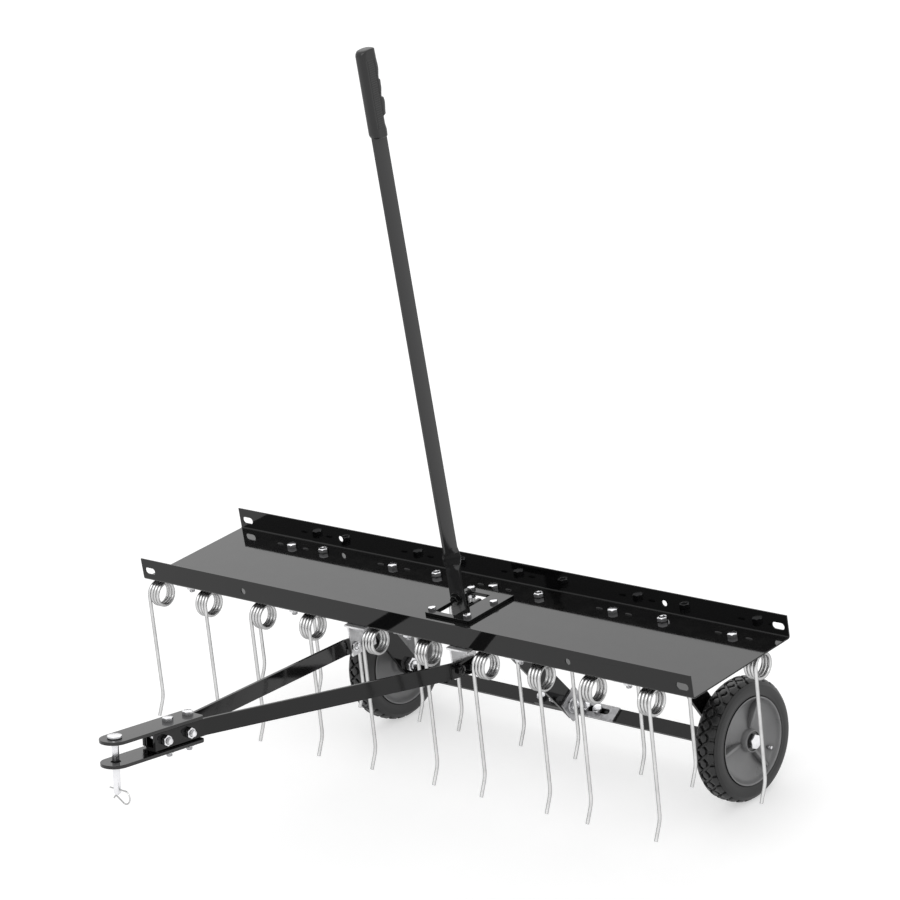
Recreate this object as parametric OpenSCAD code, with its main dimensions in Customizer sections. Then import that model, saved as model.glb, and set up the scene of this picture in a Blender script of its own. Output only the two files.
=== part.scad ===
// Tow-behind tray dethatcher: a trough-shaped tray on a lever-raised wheel frame,
// two rows of double spring tines under it and a V-shaped drawbar with a pin hitch.
// Everything is laid out from the tray (the deck) and then placed in the part frame:
// X along the tray, Y to the rear, Z up, origin on the ground under the middle.

/* [Tray] */
// Length of the tray along X
tray_l = 1016; // [700:1:1400]
// Width of the tray, front to rear
tray_w = 203.2; // [180:0.1:300]
// Sheet thickness of the tray
tray_t = 2; // [1.5:0.1:3]
// Height of the front and rear flanges
flange_h = 32.7; // [26:0.1:60]
// Outside radius of the bend between floor and flange
bend_r = 4; // [3.2:0.1:8]
// Distance of the slots in the flanges from the tray's ends
end_slot_in = 16; // [12:0.5:40]
// Length of a slot in the flanges
end_slot_l = 20; // [12:0.5:30]
// Height of a slot in the flanges
end_slot_h = 9.5; // [6:0.1:12]
// Distance of the round holes in the flanges from the middle
flange_hole_x = 301; // [200:1:420]
// Diameter of the round holes in the flanges
flange_hole_d = 8.6; // [5:0.1:12]
// Height of the flange slots and holes over the underside of the tray
flange_hole_z = 15.3; // [12:0.1:22]

/* [Gate plate] */
// Length of the gate plate along X
gate_l = 82; // [80:0.5:110]
// Width of the gate plate, front to rear
gate_w = 95.5; // [94:0.5:104]
// Thickness of the gate plate
gate_t = 4.5; // [3:0.1:6]
// Distance of the gate plate's middle from the tray's middle
gate_x = 28; // [26:0.5:30]
// Distance of the lever slot's middle from the tray's middle
slot_x = 18; // [17.8:0.1:18.2]
// Width of the lever slot
slot_w = 37; // [36.5:0.1:38]
// Front end of the lever slot, from the tray's middle
slot_front = -29; // [-31:0.5:-28]
// Rear end of the lever slot, from the tray's middle
slot_rear = 43; // [41:0.5:44]

/* [Tines] */
// Number of double tines in a row
tine_count = 5; // [5:1:5]
// Spacing of the double tines along X
tine_pitch = 203.2; // [200:0.1:210]
// Sideways shift of each row from the middle
row_shift = 25.4; // [24:0.1:27]
// Distance of each tine bolt row from the tray's middle
row_y = 73; // [72:0.5:76]
// Distance of each coil from its tine bolt
coil_spread = 49; // [48:0.1:52]
// Wire diameter of the tines
wire_d = 5; // [4:0.1:5.1]
// Radius of a coil to the middle of the wire
coil_r = 14.2; // [12:0.1:15]
// Pitch of the coil's curls
coil_pitch = 5.6; // [5.5:0.05:6]
// Curls in a coil, ending at the top
coil_turns = 3.25; // [1.25:1:3.25]
// Distance of the coil axis in front of the bolt
coil_forward = 17; // [15:0.5:19]
// Depth of the coil axis under the tray
coil_drop = 27; // [24:0.5:30]
// Height of a tine from coil axis to knee
shank_drop = 151; // [90:1:170]
// Forward lean of a tine over that height
shank_lean = 10; // [0:0.5:14]
// Height of the bent foot of a tine
foot_drop = 26; // [16:1:50]
// Forward reach of the bent foot of a tine
foot_reach = 14; // [4:0.5:20]
// Length of the plate that clamps a tine
clamp_l = 34; // [24:0.5:44]
// Thickness of the plate that clamps a tine
clamp_t = 3; // [2:0.1:5]

/* [Drawbar] */
// Angle at which the drawbar rises to the front
drawbar_rise = 10; // [6:0.5:12]
// Distance of the hitch pin in front of the tray's middle
hitch_reach = 618.9; // [560:0.1:700]
// Height of the upper hitch plate over the tray's underside
hitch_lift = 76.2; // [70:0.1:82]
// Height of a drawbar strip
bar_h = 22.5; // [18:0.1:24]
// Thickness of a drawbar strip
bar_t = 4.5; // [3:0.1:5]
// Distance of each hanger's web from the middle, to its outer face
hanger_x = 96.5; // [94:0.1:110]
// Thickness of the hangers
hanger_t = 3; // [2:0.1:4]
// Width of a hanger's plate along X
hanger_w = 38; // [36:0.5:40]
// Depth of a hanger's web under the tray
hanger_drop = 46; // [44:0.5:56]

/* [Hitch] */
// Half the width of a hitch plate, and the radius of its nose
hitch_r = 20; // [18:0.1:26]
// Length of a hitch plate behind the pin
hitch_l = 137; // [134:0.5:150]
// Thickness of a hitch plate
hitch_t = 4.5; // [3:0.1:6]
// Clear gap between the hitch plates
hitch_gap = 26.2; // [25:0.1:32]
// Width of the box spacer between the drawbar strips
spacer_w = 24; // [22:0.1:28]
// Front end of the spacer, behind the pin
spacer_front = 47; // [44:0.5:52]
// Wall of the spacer
spacer_wall = 2.5; // [2:0.1:3.5]
// Radius of the hitch pin
pin_r = 4.7; // [4:0.05:6]
// Length of the hitch pin under its head
pin_l = 74; // [68:0.5:84]
// Radius of the hitch pin's head
pin_head_r = 9.5; // [8:0.1:13]
// Thickness of the hitch pin's head
pin_head_h = 3.5; // [2:0.1:6]
// Radius of the pin hole in the lower plate
lower_hole_r = 6.5; // [5.5:0.1:8]
// Wire diameter of the hair pin
clip_d = 2; // [1.5:0.1:2.4]
// Radius of the hair pin's loop to the middle of the wire
clip_loop_r = 8.5; // [7:0.1:11]

/* [Wheel frame] */
// Distance of the frame's pivot behind the tray's middle
pivot_y = 70; // [68:0.5:74]
// Depth of the frame's pivot under the tray
pivot_drop = 16; // [15.5:0.1:18]
// Angle of the arms from straight down, to the rear
arm_angle = 30.6; // [28:0.1:34]
// Length of an arm from pivot to axle
arm_l = 237; // [225:0.5:260]
// Width of an arm
arm_w = 30; // [24:0.5:31]
// Thickness of an arm
arm_t = 5; // [3:0.1:5.5]
// Gap between the coil beside an arm and the arm
coil_arm_gap = 5; // [4.5:0.1:14]
// Width of the axle bar
axle_bar_w = 22; // [20:0.5:30]
// Thickness of the axle bar
axle_bar_t = 5; // [3:0.1:6]
// Distance of the axle bar past the axle, to its middle
axle_bar_past = 16.6; // [15.5:0.1:20]
// Distance of the strap's middle plane from the tray's middle
strap_x = 25; // [24:0.5:26]
// Width of the lift strap
strap_w = 30; // [24:0.5:31]
// Thickness of the lift strap
strap_t = 5; // [3:0.1:6]
// Thickness of the lift bracket
bracket_t = 3.5; // [2.5:0.1:4]

/* [Lever] */
// Width of the lever bar
lever_w = 25; // [20:0.1:25.2]
// Thickness of the lever bar
lever_t = 5; // [4:0.1:6]
// Distance of the lever's middle from the tray's middle
lever_x = 13; // [12.5:0.1:13.5]
// Rear face of the lever's foot, behind the tray's middle
foot_y = 7; // [5:0.5:8]
// Height of the lever's top over the tray's underside
lever_top = 790; // [600:1:900]
// Forward lean of the lever
lever_lean = 0.8; // [0:0.1:1.5]
// Height at which the lever's twist starts
twist_z = 58; // [58:1:70]
// Length of the lever's twist
twist_l = 38; // [30:1:60]
// Length of the grip
grip_l = 120; // [100:1:140]
// Width of the grip, front to rear
grip_w = 33; // [30:0.5:40]
// Thickness of the grip along X
grip_t = 19; // [12:0.5:26]
// Radius of the finger grooves in the grip
finger_r = 13; // [10:0.5:16]

/* [Wheels] */
// Radius of the wheels over the tread
wheel_r = 87; // [70:0.5:110]
// Width of the wheels
wheel_w = 39.3; // [34:0.1:46]
// Gap between an arm and its wheel
wheel_gap = 4.35; // [4:0.05:20]
// Radius of the rim's lips
lip_r = 62; // [58.5:0.1:66]
// Radius of the seat of the tyre
bead_r = 54; // [48:0.1:55]
// Radius of the rim's hub
hub_r = 15.5; // [14.2:0.1:22]
// Depth of the rim's dish between lip and hub
dish_deep = 15; // [6:0.5:18]
// Width of a rib in the dish
rib_w = 5; // [2:0.1:12]
// Number of ribs in the dish
ribs = 3; // [3:1:6]
// Number of tread blocks round a shoulder of the tyre
blocks = 32; // [16:1:40]
// Radius of the axle bolts
axle_r = 6.35; // [5:0.05:7]

/* [Fasteners] */
// Radius of the large bolts
bolt_r = 4; // [3.5:0.05:4.3]
// Width across the flats of the large bolts and nuts
bolt_af = 13; // [12:0.1:14]
// Radius of the gate bolts
small_r = 3; // [2.5:0.05:3.2]
// Width across the flats of the gate bolts and nuts
small_af = 10; // [9:0.1:11]

/* [Hidden] */
$fn = 96;
six = 6;
eps = 0.01;
rest_gap = 0.3;
run_gap = 0.05;
nut_gap = 0.05;
clip_fit = 0.08;
hole_gap = 0.3;
head_h = 5.3;
thin_h = 4;
nut_h = 6.5;
small_head_h = 4;
small_nut_h = 5;
thread_out = 5;
thread_short = 2;
round_head_h = 3;
round_head_r = 8.5;
washer_r = 11;
washer_t = 1.6;

painted = [0.14, 0.14, 0.15];
zinc = [0.78, 0.79, 0.81];
galvanised = [0.66, 0.67, 0.69];
rim_grey = [0.42, 0.42, 0.43];
rubber = [0.09, 0.09, 0.095];
grip_black = [0.11, 0.11, 0.115];

// Places of the deck and of the frame's pivot
axle_y = pivot_y + arm_l * sin(arm_angle);
axle_z = -pivot_drop - arm_l * cos(arm_angle);
nose_y = -hitch_reach - hitch_r * cos(drawbar_rise)
    - (2 * hitch_t + hitch_gap) * sin(drawbar_rise);
deck_y = -(axle_y + wheel_r + nose_y) / 2;
deck_z = wheel_r - axle_z;

// Sideways nudge of each tine from even spacing, front row first, then wheel and arm
// places along X from the last coil beside them
half_w = wheel_w / 2;
row_nudge = [[-10, -5, 11, 11, -5], [5, 3, -9, 3, 4]];
last_coil_x = tine_pitch * floor(tine_count / 4) + row_shift + row_nudge[1][3] + coil_spread
    + coil_pitch * coil_turns / 2 + wire_d / 2;
arm_x = last_coil_x + coil_arm_gap;
wheel_x = arm_x + arm_t + wheel_gap + half_w;

// Tine places and path
row_start = -tine_pitch * (tine_count - 1) / 2;
function tine_x(row, i) = row_start + i * tine_pitch + row * row_shift
    + row_nudge[(row + 1) / 2][i];
coil_top = coil_r - coil_drop;
coil_out = coil_spread + coil_pitch * coil_turns / 2;
coil_in = coil_out - coil_pitch * coil_turns;
wire_z = -rest_gap - wire_d / 2;
wire_y = bolt_r + hole_gap + wire_d / 2 + rest_gap;
hook_l = 15;
wire_in = coil_in - hook_l;
curl_rings = 8;
hook_rings = 4;
tube_sides = 6;
knee_half = 4;
clamp_w = 28;
clamp_y = 1.5;
clamp_top = -2 * rest_gap - wire_d;
gap_samples = 48;

// Hitch levels, along the pin from the top of the upper plate
gap_top = -hitch_t;
gap_bottom = -hitch_t - hitch_gap;
lower_bottom = gap_bottom - hitch_t;
bar_n_shift = 0.6;
bar_n = gap_top - hitch_gap / 2 + bar_n_shift;
plate_corner_r = 6;
spacer_past = 2;
spacer_rear = hitch_l + spacer_past;
bar_back = 6;
bar_front = spacer_front + bar_back;
bend_back = 5;
bar_bend = hitch_l + bend_back;
bar_in = spacer_w / 2 + bar_t / 2;
bar_out = hanger_x + bar_t / 2;
bend_front = 12;
bar_rear_bend = (hitch_reach - tray_w / 2 - bend_front) / cos(drawbar_rise);
bar_overlap = 50;
bar_end = bar_rear_bend + bar_overlap;
hanger_bolt_in = 16;
hanger_bolt_pitch = 22;
side_bolt_in = 23;
side_bolt_pitch = 41;
top_bolt_in = 44;
top_bolt_pitch = 35;
hanger_bolt_s = [for (i = [0, 1]) bar_rear_bend + hanger_bolt_in + i * hanger_bolt_pitch];
side_bolt_s = [for (i = [0, 1]) spacer_front + side_bolt_in + i * side_bolt_pitch];
top_bolt_s = [for (i = [0, 1]) spacer_front + top_bolt_in + i * top_bolt_pitch];
clip_up = 7;
clip_n = clip_up - pin_l;
clip_hole_r = clip_d / 2 + clip_fit;
clip_leg = 14;
clip_reach = 9.3;
clip_x = pin_r + clip_reach;
clip_return = 30;
clip_return_l = 15;
clip_tail = 50;
clip_tail_l = 6;
clip_steps = 14;
clip_sides = 8;

// Hangers and arm brackets under the tray
hanger_past = 5.4;
hanger_front = tray_w / 2 + hanger_past;
hanger_web_rear = -60;
hanger_rear = 92;
hanger_side = 6;
hanger_bolt_dx = [13.5, 5.5];
hanger_bolt_y = [-65, 74];
arm_gap = 0.5;
arm_bracket_x = arm_x + arm_t + arm_gap;
arm_bracket_t = 3;
arm_bracket_w = 30;
arm_bracket_y = [42, 98];
arm_bracket_drop = 34;
arm_bolt_in = 12.5;
arm_bolt_x = arm_bracket_x + arm_bolt_in;
arm_bolt_y = 76;

// Wheel frame places, seen along the arm
bar_top = -arm_l - axle_bar_past + axle_bar_t / 2;
bar_under = bar_top - axle_bar_t;
arm_past = 3;
arm_end = bar_under - arm_past;
strap_foot_y = -10;
strap_foot_up = 20;
strap_foot_z = bar_top + strap_foot_up;
bracket_l = 68;
bracket_edge = 2;
bracket_ear_front = 14;
bracket_ear_l = 36;
bracket_ear_h = 38;
bracket_slot = [32, 82];
bracket_slot_h = 9;
bracket_bolt_x = [41, 62];
foot_bolt_x = [-19, -42];
foot_left = -52;
strap_bolt_deck_y = pivot_y + strap_foot_y * cos(arm_angle) - strap_foot_z * sin(arm_angle);
strap_bolt_deck_z = -pivot_drop + strap_foot_y * sin(arm_angle) + strap_foot_z * cos(arm_angle);
strap_head_y = 7;
strap_head_z = 5;
strap_lean = atan2(strap_bolt_deck_y - foot_y - strap_head_y, strap_head_z - strap_bolt_deck_z);
strap_top = 4;
strap_blank = (strap_top - strap_bolt_deck_z) / cos(strap_lean) + 2 * strap_w;
tab_top = 21;
tab_w = 24;
lever_foot = -14;
lever_bolt_z = 13;
lever_bolt_x = lever_x;
lever_bolt_out = 12;
pivot_head_h = 4;
grip_over = 4;
grip_back = 2;
grip_corner_r = 8;
grip_side_r = 7;
finger_first = 22;
finger_step = 24;
finger_deep = 4;
fingers = 4;
slot_relief = 1;
slot_relief_y = 3;
gate_shift = 2.5;
gate_bolt_at = [[-36, -36.5], [29, -36.5], [32, 15], [-31, 39.5]];
gate_corner_r = 3;
gate_y = (slot_front + slot_rear) / 2 + gate_shift;

// Wheel section
lip_t = 3;
rim_wall = 4;
bead_half = half_w - lip_t - run_gap;
hub_in = 2.4;
hub_half = half_w - hub_in;
bore_r = axle_r + run_gap;
dish_t = 2.5;
dish_in = 2;
dish_steps = 8;
rib_in = 6;
collar_wall = 2;
collar_h = 2;
valve_r = 2.6;
valve_place = [24, 36.5];
axle_head_af = 19;
axle_head_h = 7.5;
axle_nut_h = 9;
axle_reach = wheel_x + hub_half + rest_gap;
axle_end = 3;
bush_r = 10;
tread_edge = 7.5;
tread_top = half_w - tread_edge;
tread_chamfer = 1.6;
shoulder = 7;
shoulder_in = 1;
bulge = 9;
bulge_in = 2;
groove_step = 7.5;
groove_w = 2.4;
groove_deep = 2.6;
notch_deep = 3.2;

function unit(v) = v / norm(v);

// A coil's wire, x outward from the tine bolt; the turn is counted from the front
function coil_at(turn) = let (a = 180 - 360 * turn)
    [coil_out - coil_pitch * turn, coil_r * cos(a) - coil_forward, coil_r * sin(a) - coil_drop];
function coil_dir(turn) = let (a = 180 - 360 * turn)
    unit([-coil_pitch / (2 * PI), coil_r * sin(a), -coil_r * cos(a)]);
function coil_side(turn) = let (a = 180 - 360 * turn) [0, cos(a), sin(a)];

// The wire from the coil's top round the bolt, as a quarter of an ellipse that rises
function hook_at(t) = [wire_in + (coil_in - wire_in) * cos(t),
    (wire_y + coil_forward) * sin(t) - coil_forward,
    coil_top + (wire_z - coil_top) * (1 - cos(2 * t)) / 2];
function hook_dir(t) = unit([-(coil_in - wire_in) * sin(t),
    (wire_y + coil_forward) * cos(t), (wire_z - coil_top) * sin(2 * t)]);

knee = coil_at(0) + [0, -shank_lean, -shank_drop];
tip = knee + [0, -foot_reach, -foot_drop];
foot_dir = unit(knee - tip);
shank_dir = unit(coil_at(0) - knee);
front_side = [0, -1, 0];
up_side = [0, 0, 1];

// Rings of half a tine, from its tip to the middle: place, direction and side
half_rings = concat(
    [[tip, foot_dir, front_side],
     [knee - knee_half * foot_dir, foot_dir, front_side],
     [knee + knee_half * shank_dir, shank_dir, front_side]],
    [for (i = [0 : coil_turns * curl_rings])
        [coil_at(i / curl_rings), coil_dir(i / curl_rings), coil_side(i / curl_rings)]],
    [for (i = [1 : hook_rings])
        [hook_at(90 * i / hook_rings), hook_dir(90 * i / hook_rings), up_side]]);

// A tube is made of rings of points round a path, each ring joined to the next one
function ring_points(ring, d, sides) = let (across = unit(cross(ring[1], ring[2])),
    side = cross(across, ring[1]))
    [for (k = [0 : sides - 1]) let (a = 360 * k / sides)
        ring[0] + d / 2 * (cos(a) * across + sin(a) * side)];
function tube_faces(count, sides) = let (last = (count - 1) * sides) concat(
    [for (k = [1 : sides - 2]) [0, k + 1, k]],
    [for (i = [0 : count - 2]) for (k = [0 : sides - 1])
        let (a = i * sides + k, b = i * sides + (k + 1) % sides) [a, b, b + sides]],
    [for (i = [0 : count - 2]) for (k = [0 : sides - 1])
        let (a = i * sides + k, b = i * sides + (k + 1) % sides) [a, b + sides, a + sides]],
    [for (k = [1 : sides - 2]) [last, last + k, last + k + 1]]);
function mirrored(p) = [-p[0], p[1], p[2]];

half_count = len(half_rings);
right_half = [for (ring = half_rings) each ring_points(ring, wire_d, tube_sides)];
left_half = [for (i = [half_count - 1 : -1 : 0]) for (k = [0 : tube_sides - 1])
    mirrored(right_half[i * tube_sides + k])];

// Least gap of a tine's wire to itself, from points over half a curl apart
gap_points = concat(
    [for (i = [0 : coil_turns * gap_samples]) coil_at(i / gap_samples)],
    [for (i = [1 : gap_samples / 2]) hook_at(180 * i / gap_samples)]);
least_gap = min([for (i = [0 : len(gap_points) - 1])
    for (j = [i + gap_samples / 2 : len(gap_points) - 1])
        if (j < len(gap_points)) norm(gap_points[i] - gap_points[j])]) - wire_d;
echo("least gap of a tine to itself, in mm", least_gap);
echo("curls in all the tines", 4 * tine_count * coil_turns);

// Placing
module on_deck() { translate([0, deck_y, deck_z]) children(); }
module on_drawbar() {
    on_deck() translate([0, -hitch_reach, hitch_lift]) rotate([-drawbar_rise, 0, 0]) children();
}
module on_arms() {
    on_deck() translate([0, pivot_y, -pivot_drop]) rotate([arm_angle, 0, 0]) children();
}
module both_sides() { for (side = [0, 1]) mirror([side, 0, 0]) children(); }
module along_x() { rotate([0, 90, 0]) children(); }
module along_y() { rotate([-90, 0, 0]) children(); }

// Fasteners: a bolt hangs down from z = 0 with its head on top, a nut sits on z = 0
module hex(af, h) { cylinder(d = af / cos(30), h = h, $fn = six); }
module bolt(r, l, af, h) {
    hex(af, h);
    translate([0, 0, -l]) cylinder(r = r, h = l + eps);
}
module round_bolt(r, l) {
    intersection() {
        cylinder(r = round_head_r, h = round_head_h);
        translate([0, 0, round_head_h - 2 * round_head_r]) sphere(r = 2 * round_head_r);
    }
    translate([0, 0, -l]) cylinder(r = r, h = l + eps);
}
module nut(r, af, h) {
    difference() {
        hex(af, h);
        translate([0, 0, -eps]) cylinder(r = r + nut_gap, h = h + 2 * eps);
    }
}
module hole(r, h) { cylinder(r = r, h = h, center = true); }

module slot_shape(l, w) {
    square([l - w, w], center = true);
    for (side = [-1, 1]) translate([side * (l - w) / 2, 0]) circle(d = w);
}
module rounded_shape(l, w, r) {
    square([l, w - 2 * r], center = true);
    square([l - 2 * r, w], center = true);
    for (x = [-1, 1], y = [-1, 1]) translate([x * (l / 2 - r), y * (w / 2 - r)]) circle(r = r);
}

// Tray
module trough_section(w, r, top) {
    translate([-w / 2, r]) square([w, top - r]);
    translate([-w / 2 + r, 0]) square([w - 2 * r, r + eps]);
    for (side = [-1, 1]) translate([side * (w / 2 - r), r]) circle(r = r);
}
module tine_places(row) {
    for (i = [0 : tine_count - 1])
        translate([tine_x(row, i), row * row_y, 0]) children();
}
function hanger_web_x(side) = side * hanger_x - (side > 0 ? hanger_t : 0);
module hanger_bolt_places() {
    for (side = [-1, 1], i = [0, 1])
        translate([hanger_web_x(side) + hanger_bolt_dx[i], hanger_bolt_y[i], 0]) children();
}
module arm_bolt_places() {
    both_sides() translate([arm_bolt_x, arm_bolt_y, 0]) children();
}
module gate_bolt_places() {
    for (place = gate_bolt_at)
        translate([gate_x + place[0], gate_y + place[1], 0]) children();
}
module tray() {
    color(painted) on_deck() difference() {
        rotate([90, 0, 90]) linear_extrude(tray_l, center = true) difference() {
            trough_section(tray_w, bend_r, flange_h);
            translate([0, tray_t])
                trough_section(tray_w - 2 * tray_t, bend_r - tray_t, flange_h);
        }
        translate([slot_x - slot_w / 2 - slot_relief, slot_front - slot_relief_y, -tray_t])
            cube([slot_w + 2 * slot_relief, slot_rear - slot_front + 2 * slot_relief_y,
                3 * tray_t]);
        for (row = [-1, 1]) tine_places(row) hole(bolt_r + hole_gap, 3 * tray_t);
        hanger_bolt_places() hole(bolt_r + hole_gap, 3 * tray_t);
        arm_bolt_places() hole(bolt_r + hole_gap, 3 * tray_t);
        gate_bolt_places() hole(small_r + hole_gap, 3 * tray_t);
        for (side = [-1, 1]) translate([side * (tray_l / 2 - end_slot_in), 0, flange_hole_z])
            rotate([90, 0, 0]) linear_extrude(2 * tray_w, center = true)
            slot_shape(end_slot_l, end_slot_h);
        for (x = [-flange_hole_x, flange_hole_x]) translate([x, 0, flange_hole_z])
            rotate([90, 0, 0]) hole(flange_hole_d / 2, 2 * tray_w);
    }
}
module gate_plate() {
    color(painted) on_deck() difference() {
        translate([gate_x, gate_y, tray_t]) linear_extrude(gate_t)
            rounded_shape(gate_l, gate_w, gate_corner_r);
        translate([slot_x - slot_w / 2, slot_front, 0])
            cube([slot_w, slot_rear - slot_front, 3 * gate_t]);
        gate_bolt_places() translate([0, 0, tray_t]) hole(small_r + hole_gap, 3 * gate_t);
    }
}
module gate_bolts() {
    color(zinc) on_deck() gate_bolt_places() translate([0, 0, tray_t + gate_t])
        bolt(small_r, tray_t + gate_t + small_nut_h + thread_short, small_af,
            small_head_h);
}
module gate_nuts() {
    color(zinc) on_deck() gate_bolt_places() translate([0, 0, -small_nut_h])
        nut(small_r, small_af, small_nut_h);
}

// Tines
module tine(row, i) {
    color(zinc) on_deck()
        translate([tine_x(row, i), row * row_y, 0])
        polyhedron(points = concat(right_half, left_half),
            faces = tube_faces(2 * half_count, tube_sides), convexity = 10);
}
module tine_clamps(row) {
    color(galvanised) on_deck() tine_places(row) difference() {
        translate([-clamp_l / 2, clamp_y - clamp_w / 2, clamp_top - clamp_t])
            cube([clamp_l, clamp_w, clamp_t]);
        hole(bolt_r + hole_gap, 8 * wire_d);
    }
}
module tine_bolts(row) {
    color(zinc) on_deck() tine_places(row) translate([0, 0, tray_t])
        bolt(bolt_r, tray_t + clamp_t - clamp_top + nut_h + thread_out, bolt_af, head_h);
}
module tine_nuts() {
    color(zinc) on_deck() for (row = [-1, 1]) tine_places(row)
        translate([0, 0, clamp_top - clamp_t - nut_h]) nut(bolt_r, bolt_af, nut_h);
}

// Hangers and drawbar
module hanger(side) {
    web_x = hanger_web_x(side);
    color(galvanised) difference() {
        on_deck() union() {
            translate([web_x - hanger_side, -hanger_front, -hanger_t])
                cube([hanger_w, hanger_front + hanger_rear, hanger_t]);
            translate([web_x, -hanger_front, -hanger_drop])
                cube([hanger_t, hanger_front + hanger_web_rear, hanger_drop]);
        }
        on_deck() hanger_bolt_places() hole(bolt_r + hole_gap, 3 * hanger_t);
        on_drawbar() for (s = hanger_bolt_s) translate([side * hanger_x, s, bar_n])
            along_x() hole(bolt_r + hole_gap, 4 * hanger_t);
    }
}
module hanger_left() { hanger(-1); }
module hanger_right() { hanger(1); }
module floor_bolts() {
    color(zinc) on_deck() {
        hanger_bolt_places() translate([0, 0, -hanger_t]) mirror([0, 0, 1])
            round_bolt(bolt_r, tray_t + hanger_t + nut_h + thread_short);
        arm_bolt_places() translate([0, 0, -arm_bracket_t]) mirror([0, 0, 1])
            round_bolt(bolt_r, tray_t + arm_bracket_t + nut_h + thread_short);
    }
}
module floor_nuts() {
    color(zinc) on_deck() {
        hanger_bolt_places() translate([0, 0, tray_t]) nut(bolt_r, bolt_af, nut_h);
        arm_bolt_places() translate([0, 0, tray_t]) nut(bolt_r, bolt_af, nut_h);
    }
}

// A strip's middle line in plan runs straight, then outward, then straight again
strip_run = bar_rear_bend - bar_bend;
strip_angle = atan2(bar_out - bar_in, strip_run);
mitre = bar_t / 2 * tan(strip_angle / 2);
module strip_plan() {
    polygon([
        [bar_in - bar_t / 2, bar_front], [bar_in + bar_t / 2, bar_front],
        [bar_in + bar_t / 2, bar_bend - mitre], [bar_out + bar_t / 2, bar_rear_bend - mitre],
        [bar_out + bar_t / 2, bar_end], [bar_out - bar_t / 2, bar_end],
        [bar_out - bar_t / 2, bar_rear_bend + mitre], [bar_in - bar_t / 2, bar_bend + mitre]]);
}
module drawbar_right() {
    color(painted) on_drawbar() difference() {
        translate([0, 0, bar_n - bar_h / 2]) linear_extrude(bar_h) strip_plan();
        for (s = concat(side_bolt_s, hanger_bolt_s)) translate([0, s, bar_n])
            along_x() hole(bolt_r + hole_gap, 4 * bar_out);
    }
}
module drawbar_left() { mirror([1, 0, 0]) drawbar_right(); }
module drawbar_bolts() {
    color(zinc) on_drawbar() both_sides() for (s = hanger_bolt_s)
        translate([hanger_x + bar_t, s, bar_n]) along_x()
            bolt(bolt_r, bar_t + hanger_t + thin_h + thread_short / 4, bolt_af, head_h);
}
module drawbar_nuts() {
    color(zinc) on_drawbar() both_sides() for (s = hanger_bolt_s)
        translate([hanger_x - hanger_t - thin_h, s, bar_n]) along_x()
            nut(bolt_r, bolt_af, thin_h);
}

// Hitch
module hitch_plate(top, hole_r) {
    color(painted) on_drawbar() difference() {
        translate([0, 0, top - hitch_t]) linear_extrude(hitch_t) {
            circle(r = hitch_r);
            translate([-hitch_r, 0]) square([2 * hitch_r, hitch_l / 2]);
            translate([0, (3 * hitch_l / 2 - plate_corner_r) / 2])
                rounded_shape(2 * hitch_r, hitch_l / 2 + plate_corner_r, plate_corner_r);
        }
        translate([0, 0, top]) hole(hole_r, 3 * hitch_t);
        for (s = top_bolt_s) translate([0, s, top]) hole(bolt_r + hole_gap, 3 * hitch_t);
    }
}
module hitch_plate_upper() { hitch_plate(0, pin_r + run_gap); }
module hitch_plate_lower() { hitch_plate(gap_bottom, lower_hole_r); }
module hitch_spacer() {
    spacer_l = spacer_rear - spacer_front;
    color(painted) on_drawbar() difference() {
        translate([-spacer_w / 2, spacer_front, gap_bottom])
            cube([spacer_w, spacer_l, hitch_gap]);
        translate([-spacer_w / 2 + spacer_wall, spacer_front - 1, gap_bottom + spacer_wall])
            cube([spacer_w - 2 * spacer_wall, spacer_l + 2, hitch_gap - 2 * spacer_wall]);
        for (s = top_bolt_s) translate([0, s, gap_top])
            hole(bolt_r + hole_gap, 3 * hitch_gap);
        for (s = side_bolt_s) translate([0, s, bar_n]) along_x()
            hole(bolt_r + hole_gap, 2 * spacer_w);
    }
}
module hitch_top_bolts() {
    color(zinc) on_drawbar() for (s = top_bolt_s) translate([0, s, 0])
        bolt(bolt_r, -lower_bottom + nut_h + thread_out, bolt_af, head_h);
}
module hitch_side_bolts() {
    side_l = spacer_w + 2 * bar_t + nut_h + thread_out;
    color(zinc) on_drawbar() for (s = side_bolt_s)
        translate([-spacer_w / 2 - bar_t, s, bar_n]) along_x() mirror([0, 0, 1])
            bolt(bolt_r, side_l, bolt_af, head_h);
}
module hitch_nuts() {
    color(zinc) on_drawbar() {
        for (s = top_bolt_s) translate([0, s, lower_bottom - nut_h])
            nut(bolt_r, bolt_af, nut_h);
        for (s = side_bolt_s) translate([spacer_w / 2 + bar_t, s, bar_n]) along_x()
            nut(bolt_r, bolt_af, nut_h);
    }
}
module hitch_pin() {
    color(zinc) on_drawbar() difference() {
        rotate_extrude() polygon([
            [0, rest_gap - pin_l], [pin_r - 1.5, rest_gap - pin_l],
            [pin_r, rest_gap - pin_l + 1.5], [pin_r, rest_gap],
            [pin_head_r, rest_gap], [pin_head_r, rest_gap + pin_head_h - 0.6],
            [pin_head_r - 0.6, rest_gap + pin_head_h], [0, rest_gap + pin_head_h]]);
        translate([0, 0, clip_n]) along_x() hole(clip_hole_r, 4 * pin_r);
    }
}
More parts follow.
